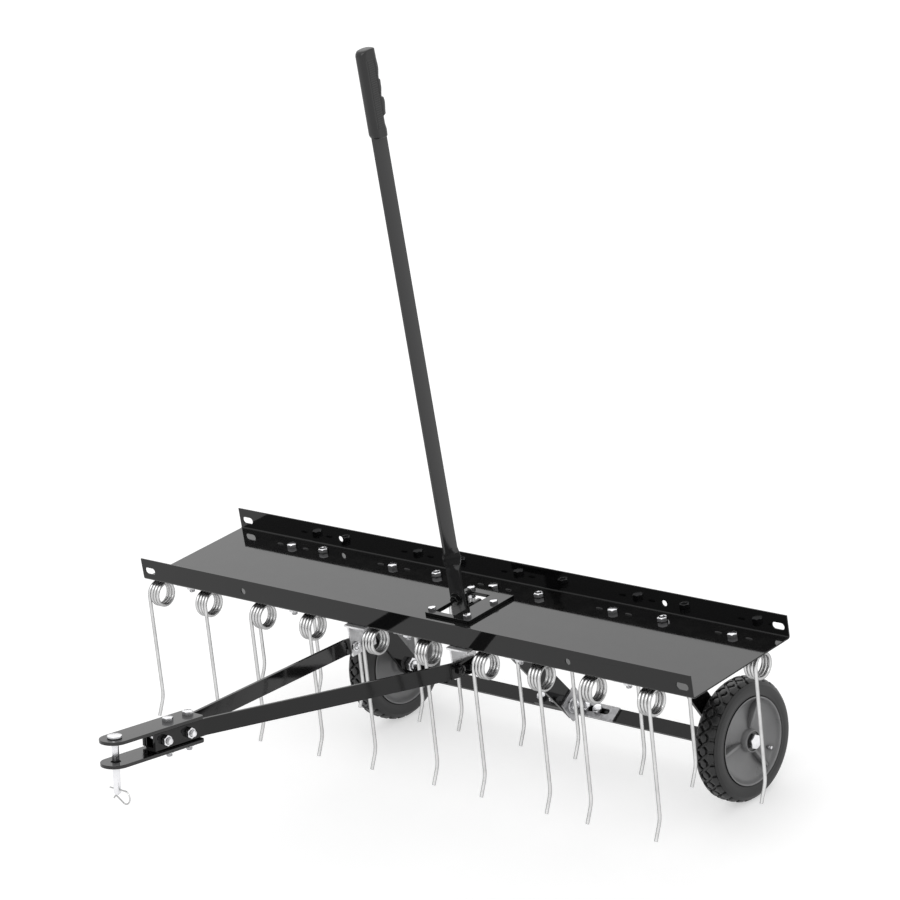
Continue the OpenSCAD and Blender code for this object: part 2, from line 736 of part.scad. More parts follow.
// The hair pin hangs in the plane across the drawbar: a straight leg through the pin's
// hole, a round loop, and a leg that runs back under the pin's end to a bent tail
across_plane = [0, 1, 0];
loop_end = [clip_x - clip_loop_r * sin(clip_return), 0,
    -clip_loop_r * (1 + cos(clip_return))];
return_dir = [-cos(clip_return), 0, sin(clip_return)];
tail_dir = [-cos(clip_tail), 0, -sin(clip_tail)];
crook = loop_end + clip_return_l * return_dir;
clip_rings = concat(
    [[[-clip_leg, 0, 0], [1, 0, 0], across_plane]],
    [for (i = [0 : clip_steps]) let (a = 90 - (180 + clip_return) * i / clip_steps)
        [[clip_x + clip_loop_r * cos(a), 0, clip_loop_r * (sin(a) - 1)],
         [sin(a), 0, -cos(a)], across_plane]],
    [[crook, unit(return_dir + tail_dir), across_plane],
     [crook + clip_tail_l * tail_dir, tail_dir, across_plane]]);
module hair_pin() {
    color(zinc) on_drawbar() translate([0, 0, clip_n])
        polyhedron(points = [for (ring = clip_rings) each ring_points(ring, clip_d, clip_sides)],
            faces = tube_faces(len(clip_rings), clip_sides), convexity = 6);
}

// Wheel frame
module arm_bracket_right() {
    color(galvanised) on_deck() difference() {
        union() {
            translate([arm_bracket_x, arm_bracket_y[0], -arm_bracket_t])
                cube([arm_bracket_w, arm_bracket_y[1] - arm_bracket_y[0], arm_bracket_t]);
            translate([arm_bracket_x, arm_bracket_y[0], -arm_bracket_drop])
                cube([arm_bracket_t, arm_bracket_y[1] - arm_bracket_y[0], arm_bracket_drop]);
        }
        arm_bolt_places() hole(bolt_r + hole_gap, 3 * arm_bracket_t);
        translate([arm_bracket_x, pivot_y, -pivot_drop]) along_x()
            hole(bolt_r + hole_gap, 4 * arm_bracket_t);
    }
}
module arm_bracket_left() { mirror([1, 0, 0]) arm_bracket_right(); }
module pivot_bolts() {
    pivot_l = arm_t + arm_gap + rest_gap + arm_bracket_t + thin_h + thread_short;
    color(zinc) on_deck() both_sides() translate([arm_x - rest_gap, pivot_y, -pivot_drop])
        along_x() mirror([0, 0, 1]) bolt(bolt_r, pivot_l, bolt_af, pivot_head_h);
}
module pivot_nuts() {
    color(zinc) on_deck() both_sides()
        translate([arm_bracket_x + arm_bracket_t, pivot_y, -pivot_drop]) along_x()
            nut(bolt_r, bolt_af, thin_h);
}
module wheel_arm_right() {
    color(painted) on_arms() difference() {
        translate([arm_x, 0, 0]) union() {
            along_x() cylinder(d = arm_w, h = arm_t);
            translate([0, -arm_w / 2, arm_end]) cube([arm_t, arm_w, -arm_end]);
        }
        translate([arm_x, 0, 0]) along_x() hole(bolt_r + run_gap, 4 * arm_t);
        translate([arm_x, 0, -arm_l]) along_x() hole(axle_r + hole_gap, 4 * arm_t);
    }
}
module wheel_arm_left() { mirror([1, 0, 0]) wheel_arm_right(); }
module axle_bar() {
    color(painted) on_arms() difference() {
        translate([-arm_x, -axle_bar_w / 2, bar_under])
            cube([2 * arm_x, axle_bar_w, axle_bar_t]);
        for (x = concat(bracket_bolt_x, foot_bolt_x)) translate([x, 0, bar_under])
            hole(bolt_r + hole_gap, 4 * axle_bar_t);
    }
}
module lift_bracket() {
    color(galvanised) on_arms() difference() {
        union() {
            translate([strap_x + strap_t / 2, -axle_bar_w / 2 - bracket_edge, bar_top])
                cube([bracket_l, axle_bar_w + bracket_edge, bracket_t]);
            translate([strap_x + strap_t / 2, -axle_bar_w / 2 - bracket_ear_front, bar_top])
                cube([bracket_t, bracket_ear_l, bracket_ear_h]);
        }
        translate([(bracket_slot[0] + bracket_slot[1]) / 2, 0, bar_top])
            linear_extrude(3 * bracket_t, center = true)
            slot_shape(bracket_slot[1] - bracket_slot[0], bracket_slot_h);
        translate([strap_x, strap_foot_y, strap_foot_z]) along_x()
            hole(bolt_r + hole_gap, 6 * bracket_t);
    }
}
module bar_bolts() {
    color(zinc) on_arms() {
        for (x = bracket_bolt_x) translate([x, 0, bar_top + bracket_t])
            bolt(bolt_r, bracket_t + axle_bar_t + nut_h + thread_short, bolt_af, head_h);
        for (x = foot_bolt_x) translate([x, 0, bar_top + strap_t])
            bolt(bolt_r, strap_t + axle_bar_t + nut_h + thread_short, bolt_af, head_h);
    }
}
module bar_nuts() {
    color(zinc) on_arms() for (x = concat(bracket_bolt_x, foot_bolt_x))
        translate([x, 0, bar_under - nut_h]) nut(bolt_r, bolt_af, nut_h);
}
module lift_strap() {
    color(painted) difference() {
        union() {
            difference() {
                on_deck() translate([strap_x, strap_bolt_deck_y, strap_bolt_deck_z])
                    rotate([strap_lean, 0, 0])
                    translate([-strap_t / 2, -strap_w / 2, -strap_w / 2])
                    cube([strap_t, strap_w, strap_blank]);
                on_deck() translate([-tray_w, -2 * tray_w, strap_top])
                    cube([2 * tray_w, 4 * tray_w, tray_w]);
                on_deck() translate([-tray_w, foot_y - tray_w, -tray_w / 2])
                    cube([2 * tray_w, tray_w, tray_w]);
                on_arms() translate([-tray_w, -tray_w, bar_top - tray_w])
                    cube([2 * tray_w, 2 * tray_w, tray_w]);
            }
            on_arms() translate([foot_left, -axle_bar_w / 2, bar_top])
                cube([strap_x + strap_t / 2 - foot_left, axle_bar_w, strap_t]);
            on_deck() translate([lever_x - tab_w / 2, foot_y, lever_foot])
                cube([tab_w, strap_t, tab_top - lever_foot]);
        }
        on_arms() translate([strap_x, strap_foot_y, strap_foot_z]) along_x()
            hole(bolt_r + hole_gap, 4 * strap_t);
        on_arms() for (x = foot_bolt_x) translate([x, 0, bar_top])
            hole(bolt_r + hole_gap, 4 * strap_t);
        on_deck() translate([lever_bolt_x, foot_y, lever_bolt_z]) along_y()
            hole(bolt_r + hole_gap, 4 * strap_t);
    }
}
module strap_bolt() {
    grip = strap_t + bracket_t;
    color(zinc) on_arms()
        translate([strap_x + strap_t / 2 + bracket_t, strap_foot_y, strap_foot_z]) along_x() {
        cylinder(r = washer_r, h = washer_t);
        translate([0, 0, washer_t - eps])
            bolt(bolt_r, grip + washer_t + nut_h + thread_short, bolt_af, head_h);
    }
}
module strap_nut() {
    color(zinc) on_arms()
        translate([strap_x - strap_t / 2 - nut_h, strap_foot_y, strap_foot_z]) along_x()
            nut(bolt_r, bolt_af, nut_h);
}

// Lever
module lever_bar() {
    upper = lever_top - twist_z - twist_l;
    color(painted) difference() {
        union() {
            on_deck() translate([lever_x - lever_w / 2, foot_y - lever_t, lever_foot])
                cube([lever_w, lever_t, twist_z - lever_foot]);
            on_deck() translate([lever_x, foot_y - lever_t / 2, twist_z])
                linear_extrude(twist_l, twist = -90, slices = 12, segments = 4)
                square([lever_w, lever_t], center = true);
            on_deck() translate([lever_x, foot_y - lever_t / 2, twist_z + twist_l])
                rotate([lever_lean, 0, 0])
                translate([-lever_t / 2, -lever_w / 2, -lever_t / 10])
                cube([lever_t, lever_w, upper]);
        }
        on_deck() translate([lever_bolt_x, foot_y, lever_bolt_z]) along_y()
            hole(bolt_r + hole_gap, 4 * lever_t);
    }
}
module lever_bolt() {
    color(painted) on_deck() translate([lever_bolt_x, foot_y - lever_t, lever_bolt_z])
        rotate([90, 0, 0]) {
            cylinder(r = washer_r - 1, h = washer_t);
            translate([0, 0, washer_t - eps])
                bolt(bolt_r, washer_t + lever_t + strap_t + nut_h + lever_bolt_out,
                    bolt_af, head_h);
        }
}
module lever_nut() {
    color(painted) on_deck() translate([lever_bolt_x, foot_y + strap_t, lever_bolt_z]) along_y()
        nut(bolt_r, bolt_af, nut_h);
}
module grip_outline() {
    difference() {
        translate([0, grip_l / 2]) rounded_shape(grip_w, grip_l, grip_corner_r);
        for (i = [0 : fingers - 1])
            translate([grip_w / 2 + finger_r - finger_deep, finger_first + i * finger_step])
            circle(r = finger_r);
    }
}
module lever_grip() {
    upper = lever_top - twist_z - twist_l;
    color(grip_black) on_deck()
        translate([lever_x, foot_y - lever_t / 2, twist_z + twist_l]) rotate([lever_lean, 0, 0])
        difference() {
            translate([0, grip_back, upper + grip_over - grip_l]) intersection() {
                rotate([90, 0, 90]) linear_extrude(grip_t, center = true) grip_outline();
                linear_extrude(grip_l) rounded_shape(grip_t, grip_w, grip_side_r);
            }
            translate([-lever_t / 2 - run_gap, -lever_w / 2 - run_gap, 0])
                cube([lever_t + 2 * run_gap, lever_w + 2 * run_gap, upper]);
        }
}

// Wheels
module on_wheel() {
    on_deck() translate([wheel_x, axle_y, axle_z]) along_x() children();
}
// The dish falls from the lip to the hub along a parabola, with a wall of even height
function dish_at(t, lift) = [hub_r + (bead_r - rim_wall - hub_r) * t,
    half_w - dish_in - dish_deep * (1 - t * t) - lift];
module dish_section() {
    polygon(concat([for (i = [0 : dish_steps]) dish_at(i / dish_steps, 0)],
        [for (i = [dish_steps : -1 : 0]) dish_at(i / dish_steps, dish_t)]));
}
module rim_right() {
    barrel_r = bead_r - rim_wall;
    color(rim_grey) on_wheel() difference() {
        union() {
            rotate_extrude() {
                translate([barrel_r - eps, -half_w]) square([rim_wall + eps, wheel_w]);
                for (z = [-half_w, half_w - lip_t]) translate([barrel_r, z])
                    square([lip_r - barrel_r, lip_t]);
                translate([0, -hub_half]) square([hub_r + eps, 2 * hub_half + collar_h]);
                dish_section();
            }
            for (i = [0 : ribs - 1]) rotate([0, 0, 270 + 360 * i / ribs])
                translate([0, -rib_w / 2, half_w - dish_in - dish_deep - dish_t])
                cube([barrel_r + rim_wall / 2, rib_w, dish_deep + dish_in + dish_t - rib_in]);
        }
        hole(bore_r, 2 * wheel_w);
        translate([0, 0, hub_half]) cylinder(r = hub_r - collar_wall, h = wheel_w);
        translate([valve_place[0], valve_place[1], 0]) cylinder(r = valve_r, h = wheel_w);
    }
}
module rim_left() { mirror([1, 0, 0]) rim_right(); }
// Half of the tyre's section, from the bead to the tread
tyre_side = [[bead_r + run_gap, bead_half], [lip_r + rest_gap, bead_half],
    [lip_r + bulge_in, half_w - shoulder_in], [lip_r + bulge, half_w],
    [wheel_r - shoulder, half_w - shoulder_in],
    [wheel_r - tread_chamfer, tread_top + 2 * tread_chamfer], [wheel_r, tread_top]];
module tyre_right() {
    color(rubber) on_wheel() difference() {
        rotate_extrude() difference() {
            polygon(concat(tyre_side,
                [for (i = [len(tyre_side) - 1 : -1 : 0]) [tyre_side[i][0], -tyre_side[i][1]]]));
            for (i = [-1 : 1])
                translate([wheel_r - groove_deep, i * groove_step - groove_w / 2])
                square([2 * groove_deep, groove_w]);
        }
        for (i = [0 : blocks - 1], side = [0, 1]) mirror([0, 0, side])
            rotate([0, 0, 360 * (i + (1 + 2 * side) / 4) / blocks])
            translate([wheel_r - notch_deep, -groove_w / 2, groove_step])
            cube([2 * notch_deep, groove_w, half_w]);
    }
}
module tyre_left() { mirror([1, 0, 0]) tyre_right(); }
module axle_bolt_right() {
    color(zinc) on_deck() translate([axle_reach, axle_y, axle_z]) along_x()
        bolt(axle_r, axle_reach - arm_x + axle_nut_h + axle_end, axle_head_af, axle_head_h);
}
module axle_bolt_left() { mirror([1, 0, 0]) axle_bolt_right(); }
module axle_nuts() {
    color(zinc) on_deck() both_sides()
        translate([arm_x - axle_nut_h, axle_y, axle_z]) along_x()
            nut(axle_r, axle_head_af, axle_nut_h);
}
module axle_bushes() {
    bush_l = wheel_x - hub_half - arm_x - arm_t - rest_gap;
    color(zinc) on_deck() both_sides()
        translate([arm_x + arm_t, axle_y, axle_z]) along_x() difference() {
            cylinder(r = bush_r, h = bush_l);
            hole(axle_r + nut_gap, 4 * bush_l);
        }
}

module front_tine_1() { tine(-1, 0); }
module front_tine_2() { tine(-1, 1); }
module front_tine_3() { tine(-1, 2); }
module front_tine_4() { tine(-1, 3); }
module front_tine_5() { tine(-1, 4); }
module rear_tine_1() { tine(1, 0); }
module rear_tine_2() { tine(1, 1); }
module rear_tine_3() { tine(1, 2); }
module rear_tine_4() { tine(1, 3); }
module rear_tine_5() { tine(1, 4); }
module front_tine_clamps() { tine_clamps(-1); }
module rear_tine_clamps() { tine_clamps(1); }
module front_tine_bolts() { tine_bolts(-1); }
module rear_tine_bolts() { tine_bolts(1); }

tray();
gate_plate();
gate_bolts();
gate_nuts();
front_tine_1();
front_tine_2();
front_tine_3();
front_tine_4();
front_tine_5();
rear_tine_1();
rear_tine_2();
rear_tine_3();
rear_tine_4();
rear_tine_5();
front_tine_clamps();
rear_tine_clamps();
front_tine_bolts();
rear_tine_bolts();
tine_nuts();
hanger_left();
hanger_right();
floor_bolts();
floor_nuts();
drawbar_left();
drawbar_right();
drawbar_bolts();
drawbar_nuts();
hitch_plate_upper();
hitch_plate_lower();
hitch_spacer();
hitch_top_bolts();
hitch_side_bolts();
hitch_nuts();
hitch_pin();
hair_pin();
arm_bracket_left();
arm_bracket_right();
pivot_bolts();
pivot_nuts();
wheel_arm_left();
wheel_arm_right();
axle_bar();
lift_bracket();
bar_bolts();
bar_nuts();
lift_strap();
strap_bolt();
strap_nut();
lever_bar();
lever_bolt();
lever_nut();
lever_grip();
rim_left();
rim_right();
tyre_left();
tyre_right();
axle_bolt_left();
axle_bolt_right();
axle_nuts();
axle_bushes();
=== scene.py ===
"""Tow-behind tray dethatcher: finishes, spring tines, fasteners, wheels and a plain studio."""
from math import atan2, cos, pi, radians, sin, sqrt

import bmesh
import bpy
from bpy.props import FloatProperty, FloatVectorProperty, IntProperty, PointerProperty
from mathutils import Matrix, Vector


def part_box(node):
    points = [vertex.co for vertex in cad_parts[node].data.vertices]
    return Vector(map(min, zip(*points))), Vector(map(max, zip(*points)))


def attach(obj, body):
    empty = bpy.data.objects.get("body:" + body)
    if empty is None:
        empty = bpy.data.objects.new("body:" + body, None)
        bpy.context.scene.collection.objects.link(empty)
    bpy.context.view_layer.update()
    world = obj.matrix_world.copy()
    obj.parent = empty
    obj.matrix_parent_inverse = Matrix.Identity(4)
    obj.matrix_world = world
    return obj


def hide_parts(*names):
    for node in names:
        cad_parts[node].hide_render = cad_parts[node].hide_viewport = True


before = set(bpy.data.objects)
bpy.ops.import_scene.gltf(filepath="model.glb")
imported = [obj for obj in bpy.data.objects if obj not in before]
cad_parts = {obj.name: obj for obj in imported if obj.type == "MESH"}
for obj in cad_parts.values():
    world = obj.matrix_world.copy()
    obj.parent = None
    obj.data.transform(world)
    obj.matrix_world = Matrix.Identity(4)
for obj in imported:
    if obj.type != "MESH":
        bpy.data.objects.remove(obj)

bl_info = {
    "name": "Tow-behind dethatcher",
    "version": (1, 0, 0),
    "blender": (4, 5, 0),
    "location": "View3D > Sidebar > Dethatcher",
    "description": "Dresses a tray dethatcher with its finishes, tines, fasteners and wheels",
    "category": "Object",
}

MM = 0.001
UP = Vector((0, 0, 1))
RIGHT = Vector((1, 0, 0))
REAR = Vector((0, 1, 0))
TRAY_LOW, TRAY_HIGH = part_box("tray")
TYRE_LOW, TYRE_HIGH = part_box("tyre_right")

# How close corners are welded, and the angles between faces that count as flat, that get a
# rounded edge, and that are shaded as an edge, on most pieces and on soft forms
WELD = 0.002 * MM
FLAT_ANGLE = radians(0.6)
EDGE_ANGLE = radians(28)
SHARP = radians(35)
SOFT_FORM_SHARP = radians(50)

# Places of the deck, the drawbar and the wheel frame, in the frame of the whole machine
DECK = Matrix.Translation((0, (TRAY_LOW.y + TRAY_HIGH.y) / 2, TRAY_LOW.z))
HITCH_REACH = 618.9 * MM
HITCH_LIFT = 76.2 * MM
DRAWBAR_RISE = radians(10)
DRAWBAR = (DECK @ Matrix.Translation((0, -HITCH_REACH, HITCH_LIFT))
           @ Matrix.Rotation(-DRAWBAR_RISE, 4, "X"))
PIVOT_Y = 70 * MM
PIVOT_DROP = 16 * MM
ARM_ANGLE = radians(30.6)
ARMS = (DECK @ Matrix.Translation((0, PIVOT_Y, -PIVOT_DROP))
        @ Matrix.Rotation(ARM_ANGLE, 4, "X"))
ALONG_PIN = DRAWBAR.to_3x3() @ UP
ALONG_ARM = ARMS.to_3x3() @ UP

# Double spring tines
TINES_IN_ROW = 5
TINE_PITCH = 203.2 * MM
ROW_SHIFT = 25.4 * MM
ROW_NUDGE = {-1: (-10, -5, 11, 11, -5), 1: (5, 3, -9, 3, 4)}
ROW_Y = 73 * MM
COIL_SPREAD = 49 * MM
COIL_R = 17 * MM
COIL_PITCH = 5.6 * MM
COIL_TURNS = 3.25
COIL_FORWARD = 14.5 * MM
COIL_DROP = 24.2 * MM
SHANK_DROP = 153.8 * MM
SHANK_LEAN = 10 * MM
FOOT_DROP = 26 * MM
FOOT_REACH = 14 * MM
HOOK_L = 15 * MM
TIP_CHAMFER = 0.5 * MM
BOLT_R = 4 * MM
HOLE_GAP = 0.3 * MM
REST_GAP = 0.3 * MM

# Bolts and nuts: widths across flats, threads, corners, and how closely a radius has to fit
BIG_FLAT = 13 * MM
SMALL_FLAT = 10 * MM
AXLE_FLAT = 19 * MM
HEX_POINTS = 48
ROUND_POINTS = 28
THREAD_PITCH = 1.25 * MM
THREAD_DEEP = 0.55 * MM
THREAD_L = 16 * MM
ROUND_THREAD_L = 12 * MM
HEX_CUT = 0.94
HEX_CUT_SLOPE = 0.58
RADIUS_SLACK = 0.015
BOLTS = {"gate_bolts": ("deck", UP, SMALL_FLAT),
         "front_tine_bolts": ("deck", UP, BIG_FLAT),
         "rear_tine_bolts": ("deck", UP, BIG_FLAT),
         "drawbar_bolts": ("deck", RIGHT, BIG_FLAT),
         "hitch_top_bolts": ("deck", ALONG_PIN, BIG_FLAT),
         "hitch_side_bolts": ("deck", RIGHT, BIG_FLAT),
         "pivot_bolts": ("deck", RIGHT, BIG_FLAT),
         "bar_bolts": ("wheel_frame", ALONG_ARM, BIG_FLAT),
         "strap_bolt": ("wheel_frame", RIGHT, BIG_FLAT),
         "lever_bolt": ("wheel_frame", REAR, BIG_FLAT),
         "axle_bolt_left": ("wheel_frame", RIGHT, AXLE_FLAT),
         "axle_bolt_right": ("wheel_frame", RIGHT, AXLE_FLAT)}
NUTS = {"gate_nuts": ("deck", (UP,)), "tine_nuts": ("deck", (UP,)),
        "floor_nuts": ("deck", (UP,)), "drawbar_nuts": ("deck", (RIGHT,)),
        "hitch_nuts": ("deck", (ALONG_PIN, RIGHT)), "pivot_nuts": ("deck", (RIGHT,)),
        "bar_nuts": ("wheel_frame", (ALONG_ARM,)), "strap_nut": ("wheel_frame", (RIGHT,)),
        "lever_nut": ("wheel_frame", (REAR,)), "axle_nuts": ("wheel_frame", (RIGHT,))}

# Low tabs on the tray's floor, with their section as shares of half the width and the height
TAB_PITCH = 25.5 * MM
TAB_BACK = 2 * MM
TAB_L = 12 * MM
TAB_W = 4 * MM
TAB_H = 1.8 * MM
TAB_SUNK = 0.4 * MM
TAB_SECTION = ((-1, 0), (-0.9, 0.45), (-0.5, 0.88), (0, 1), (0.5, 0.88), (0.9, 0.45), (1, 0))
FLOOR_T = 2 * MM

# Hitch: left strip's front end, spacer box, pin, and hair pin from where it passes the pin
STRIP_END = 60 * MM
STRIP_CUT = 8 * MM
SPACER_WALL = 2.5 * MM
SPACER_CORNER = 2 * MM
SPACER_CUT = 15 * MM
PIN_R = 4.7 * MM
PIN_L = 74 * MM
CLIP_UP = 7 * MM
CLIP_D = 2 * MM
CLIP_LOOP_R = 8.5 * MM
CLIP_LEG = 14 * MM
CLIP_REACH = 9.3 * MM
CLIP_RETURN = radians(30)
CLIP_RETURN_L = 15 * MM
CLIP_TAIL = radians(50)
CLIP_TAIL_L = 6 * MM
CLIP_SIDES = 14
CLIP_CHAMFER = 0.25 * MM
PIN_HEAD_R = 9.5 * MM
PIN_HEAD_H = 3.5 * MM

# Lever and grip; how far the grip's rear side is drawn in, by height over its lower end
LEVER_X = 13 * MM
LEVER_W = 25 * MM
LEVER_T = 5 * MM
FOOT_Y = 7 * MM
LEVER_FOOT = -14 * MM
LEVER_TOP = 790 * MM
LEVER_LEAN = radians(0.8)
TWIST_Z = 58 * MM
TWIST_L = 28 * MM
GRIP_L = 120 * MM
GRIP_W = 31 * MM
GRIP_T = 17 * MM
GRIP_BACK = 2 * MM
GRIP_OVER = 4 * MM
GRIP_END_R = 8 * MM
GRIP_SIDE_R = 7 * MM
GRIP_REAR_IN = ((0, 5.5), (9, 5.0), (19, 6.5), (27.5, 6.5), (30, 2.0), (46, 0.0), (51, 0.8),
                (53.5, 4.2), (67, 1.9), (75, 1.6), (78, 3.8), (93, 1.5), (108, 2.6), (120, 3.0))

# Tyre: the sidewall as distance out from the rim's lip and depth under the widest plane, where
# the tread's skin has its rings, the crown's fall, and the blocks: outlines along and across
# the tread, and rings of a block's sides as shares of its outline and drops from its top
WHEEL_R = (TYRE_HIGH.z - TYRE_LOW.z) / 2
HALF_W = (TYRE_HIGH.x - TYRE_LOW.x) / 2
SEAT_R = 60.4 * MM
LIP_R = 62 * MM
LIP_T = 3 * MM
SIDEWALL = ((0.6, 1.9), (2.0, 1.0), (3.2, 0.5), (4.2, 0.7), (6.0, 0.3), (9.0, 0.02),
            (12.5, 0.1), (15.0, 0.5), (16.2, 0.7), (16.8, 1.3), (18.4, 1.9), (20.0, 3.3))
TREAD_WIDTHS = (14, 11, 7, 3.5, 0)
CROWN_FLAT = 11 * MM
CROWN_DROP = 0.9 * MM
SHOULDER_FALL = 0.72
CENTRE_BLOCK = [(-7.3, 0.0), (-3.4, -4.9), (3.4, -4.9), (7.3, 0.0), (3.4, 4.9), (-3.4, 4.9)]
SHOULDER_BLOCK = [(-7.2, 15.6), (-7.9, 9.6), (-4.4, 7.6), (0.0, 2.6), (4.4, 7.6), (7.9, 9.6),
                  (7.2, 15.6), (0.0, 16.6)]
BLOCK_FOOT = 0.97
BLOCK_SUNK = 1.2 * MM
BLOCK_RINGS = ((0.91, 0.8), (0.86, 0.15), (0.80, 0.0), (0.3, 0.0))

# Rim: the bowl's wall from the hub to its lip, as distance from the axle and depth under
# the lip, and the valve's tip, as depth and share of its radius
BOWL = ((15.5, 9.8), (15.9, 11.2), (17.2, 12.2), (21.0, 13.4), (26.5, 14.8), (32.0, 15.8),
        (38.0, 16.2), (43.5, 15.8), (49.0, 14.4), (53.6, 12.0), (57.0, 8.6), (58.8, 5.0),
        (59.6, 2.0), (60.2, 0.5), (60.9, 0.0), (61.6, 0.1), (62.0, 0.6))
BOWL_BACK = 3.2 * MM
HUB_R = 15.5 * MM
HUB_IN = 2.4 * MM
COLLAR_H = 2 * MM
COLLAR_WALL = 2 * MM
LIP_ROUND = 1.4 * MM
AXLE_R = 6.65 * MM
RIB_ANGLES = (60, 180, 300)
RIB_W = 4.4 * MM
RIB_END = 58.6 * MM
RIB_IN = 9.2 * MM
RIB_RISE = 4.4 * MM
VALVE_R = 2.2 * MM
VALVE_OUT = 51.5 * MM
VALVE_TURN = radians(-35)
VALVE_TIP = ((13.0, 1.0), (9.0, 1.0), (8.6, 0.82), (7.6, 0.82), (7.2, 1.0), (5.9, 1.0),
             (5.9, 1.0 - 0.5 * MM / VALVE_R))

# Camera and floor
CAMERA_PLACE = Vector((3.3841, -3.1463, 2.2527))
CAMERA_RIGHT = Vector((0.7356, 0.661, -0.1484))
CAMERA_UP = Vector((-0.1265, 0.3493, 0.9284))
CAMERA_LENS = 149.78
SENSOR = 36
FLOOR_HALF = 40.0


# Measures

def turns(count):
    """Angles that stand evenly round a circle."""
    return [2 * pi * k / count for k in range(count)]


def eased(share):
    """A share that starts and ends gently."""
    return share * share * (3 - 2 * share)


def looked_up(table, place, curve=float):
    """The length at a place in a table in mm, which has rising places with their lengths."""
    for (low, start), (high, end) in zip(table, table[1:]):
        if low * MM <= place <= high * MM:
            return (start + (end - start) * curve((place / MM - low) / (high - low))) * MM
    return table[0][1] * MM


def drawn_in(from_end, radius):
    """How far a round corner draws a side in, at a distance from the end."""
    return radius - sqrt(max(radius ** 2 - max(radius - from_end, 0.0) ** 2, 0.0))


def box_of(corners):
    """The lowest and the highest corner of the box around some corners."""
    return [Vector([pick(corner[k] for corner in corners) for k in range(3)])
            for pick in (min, max)]


def middle_of(corners):
    low, high = box_of(corners)
    return (low + high) / 2


# Shapes

def new_object(name, data):
    """An object that stands in the scene."""
    made = bpy.data.objects.new(name, data)
    bpy.context.scene.collection.objects.link(made)
    return made


def place(mesh, name, body, slot, *nodes, look=None):
    """Makes a piece of a mesh, gives it its finish and lets it ride on its body."""
    old = bpy.data.objects.get(name)
    if old is not None:
        bpy.data.objects.remove(old)
    piece = new_object(name, mesh)
    mesh.materials.clear()
    mesh.materials.append(finish(look or slot))
    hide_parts(*nodes)
    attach(piece, body)
    return piece


class Shape:
    """Corners and faces gathered from several closed skins before they become one mesh."""

    def __init__(self):
        self.corners = []
        self.faces = []

    def skin(self, rings, loop=False):
        """Joins rings of equally many corners into a tube with flat ends, or into a loop."""
        start = len(self.corners)
        around = len(rings[0])
        for ring in rings:
            self.corners.extend(ring)
        for i in range(len(rings) if loop else len(rings) - 1):
            here = start + i * around
            after = start + (i + 1) % len(rings) * around
            for k in range(around):
                beside = (k + 1) % around
                self.faces.append((here + k, here + beside, after + beside, after + k))
        if not loop:
            end = len(self.corners) - around
            self.faces.append(tuple(start + k for k in reversed(range(around))))
            self.faces.append(tuple(end + k for k in range(around)))
        return self

    def place(self, name, body, slot, *nodes, look=None, sharp=SHARP):
        """Makes one mesh of the skins, and a piece of the mesh."""
        mesh = bpy.data.meshes.new(name)
        mesh.from_pydata(self.corners, [], self.faces)
        work = bmesh.new()
        work.from_mesh(mesh)
        bmesh.ops.recalc_face_normals(work, faces=work.faces)
        work.to_mesh(mesh)
        work.free()
        mesh.shade_smooth()
        mesh.set_sharp_from_angle(angle=sharp)
        place(mesh, name, body, slot, *nodes, look=look)


def softened(node, name, body, slot, look=None, edge=0.4 * MM):
    """A node's own shape with its flat faces joined up and its edges rounded."""
    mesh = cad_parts[node].data.copy()
    work = bmesh.new()
    work.from_mesh(mesh)
    bmesh.ops.remove_doubles(work, verts=work.verts, dist=WELD)
    bmesh.ops.dissolve_limit(work, angle_limit=FLAT_ANGLE, verts=work.verts, edges=work.edges)
    work.to_mesh(mesh)
    work.free()
    mesh.name = name
    mesh.shade_smooth()
    piece = place(mesh, name, body, slot, node, look=look)
    bevel = piece.modifiers.new("Rounded edges", "BEVEL")
    bevel.width = edge
    bevel.segments = 2
    bevel.limit_method = "ANGLE"
    bevel.angle_limit = EDGE_ANGLE
    bevel.use_clamp_overlap = False
    bevel.miter_outer = "MITER_ARC"
    even = piece.modifiers.new("Flat faces stay flat", "WEIGHTED_NORMAL")
    even.weight = 95
    shown = piece.evaluated_get(bpy.context.evaluated_depsgraph_get())
    rounded = bpy.data.meshes.new_from_object(shown)
    rounded.name = name
    piece.modifiers.clear()
    piece.data = rounded
    return piece


def swept(points, radius, sides, chamfer):
    """Rings of a round wire along a path, with a small chamfer at both ends."""
    last = len(points) - 1
    rings = []
    side = None
    for i, point in enumerate(points):
        direction = (points[min(i + 1, last)] - points[max(i - 1, 0)]).normalized()
        if side is None:
            side = direction.orthogonal().normalized()
        side = (side - direction * side.dot(direction)).normalized()
        across = direction.cross(side)
        spokes = [side * cos(turn) + across * sin(turn) for turn in turns(sides)]
        steps = [(0, radius)]
        if i == 0:
            steps = [(0, radius - chamfer), (chamfer, radius)]
        elif i == last:
            steps = [(-chamfer, radius), (0, radius - chamfer)]
        for along, reach in steps:
            rings.append([point + direction * along + spoke * reach for spoke in spokes])
    return rings


def bend(start, corner, end, steps):
    """Points on a smooth curve from start to end that turns towards corner."""
    return [start * (1 - t) ** 2 + corner * 2 * t * (1 - t) + end * t ** 2
            for t in (i / steps for i in range(steps + 1))]


def rounded_section(half_x, half_y, corner, steps):
    """Corners of a rectangle with round corners, about its own middle."""
    points = []
    for x, y, start in ((1, 1, 0), (-1, 1, 90), (-1, -1, 180), (1, -1, 270)):
        for i in range(steps + 1):
            angle = radians(start + 90 * i / steps)
            points.append((x * (half_x - corner) + corner * cos(angle),
                           y * (half_y - corner) + corner * sin(angle)))
    return points


# Node trees

def cleared(owner):
    """The empty node tree of a material or of the world."""
    owner.use_nodes = True
    owner.node_tree.nodes.clear()
    return owner.node_tree


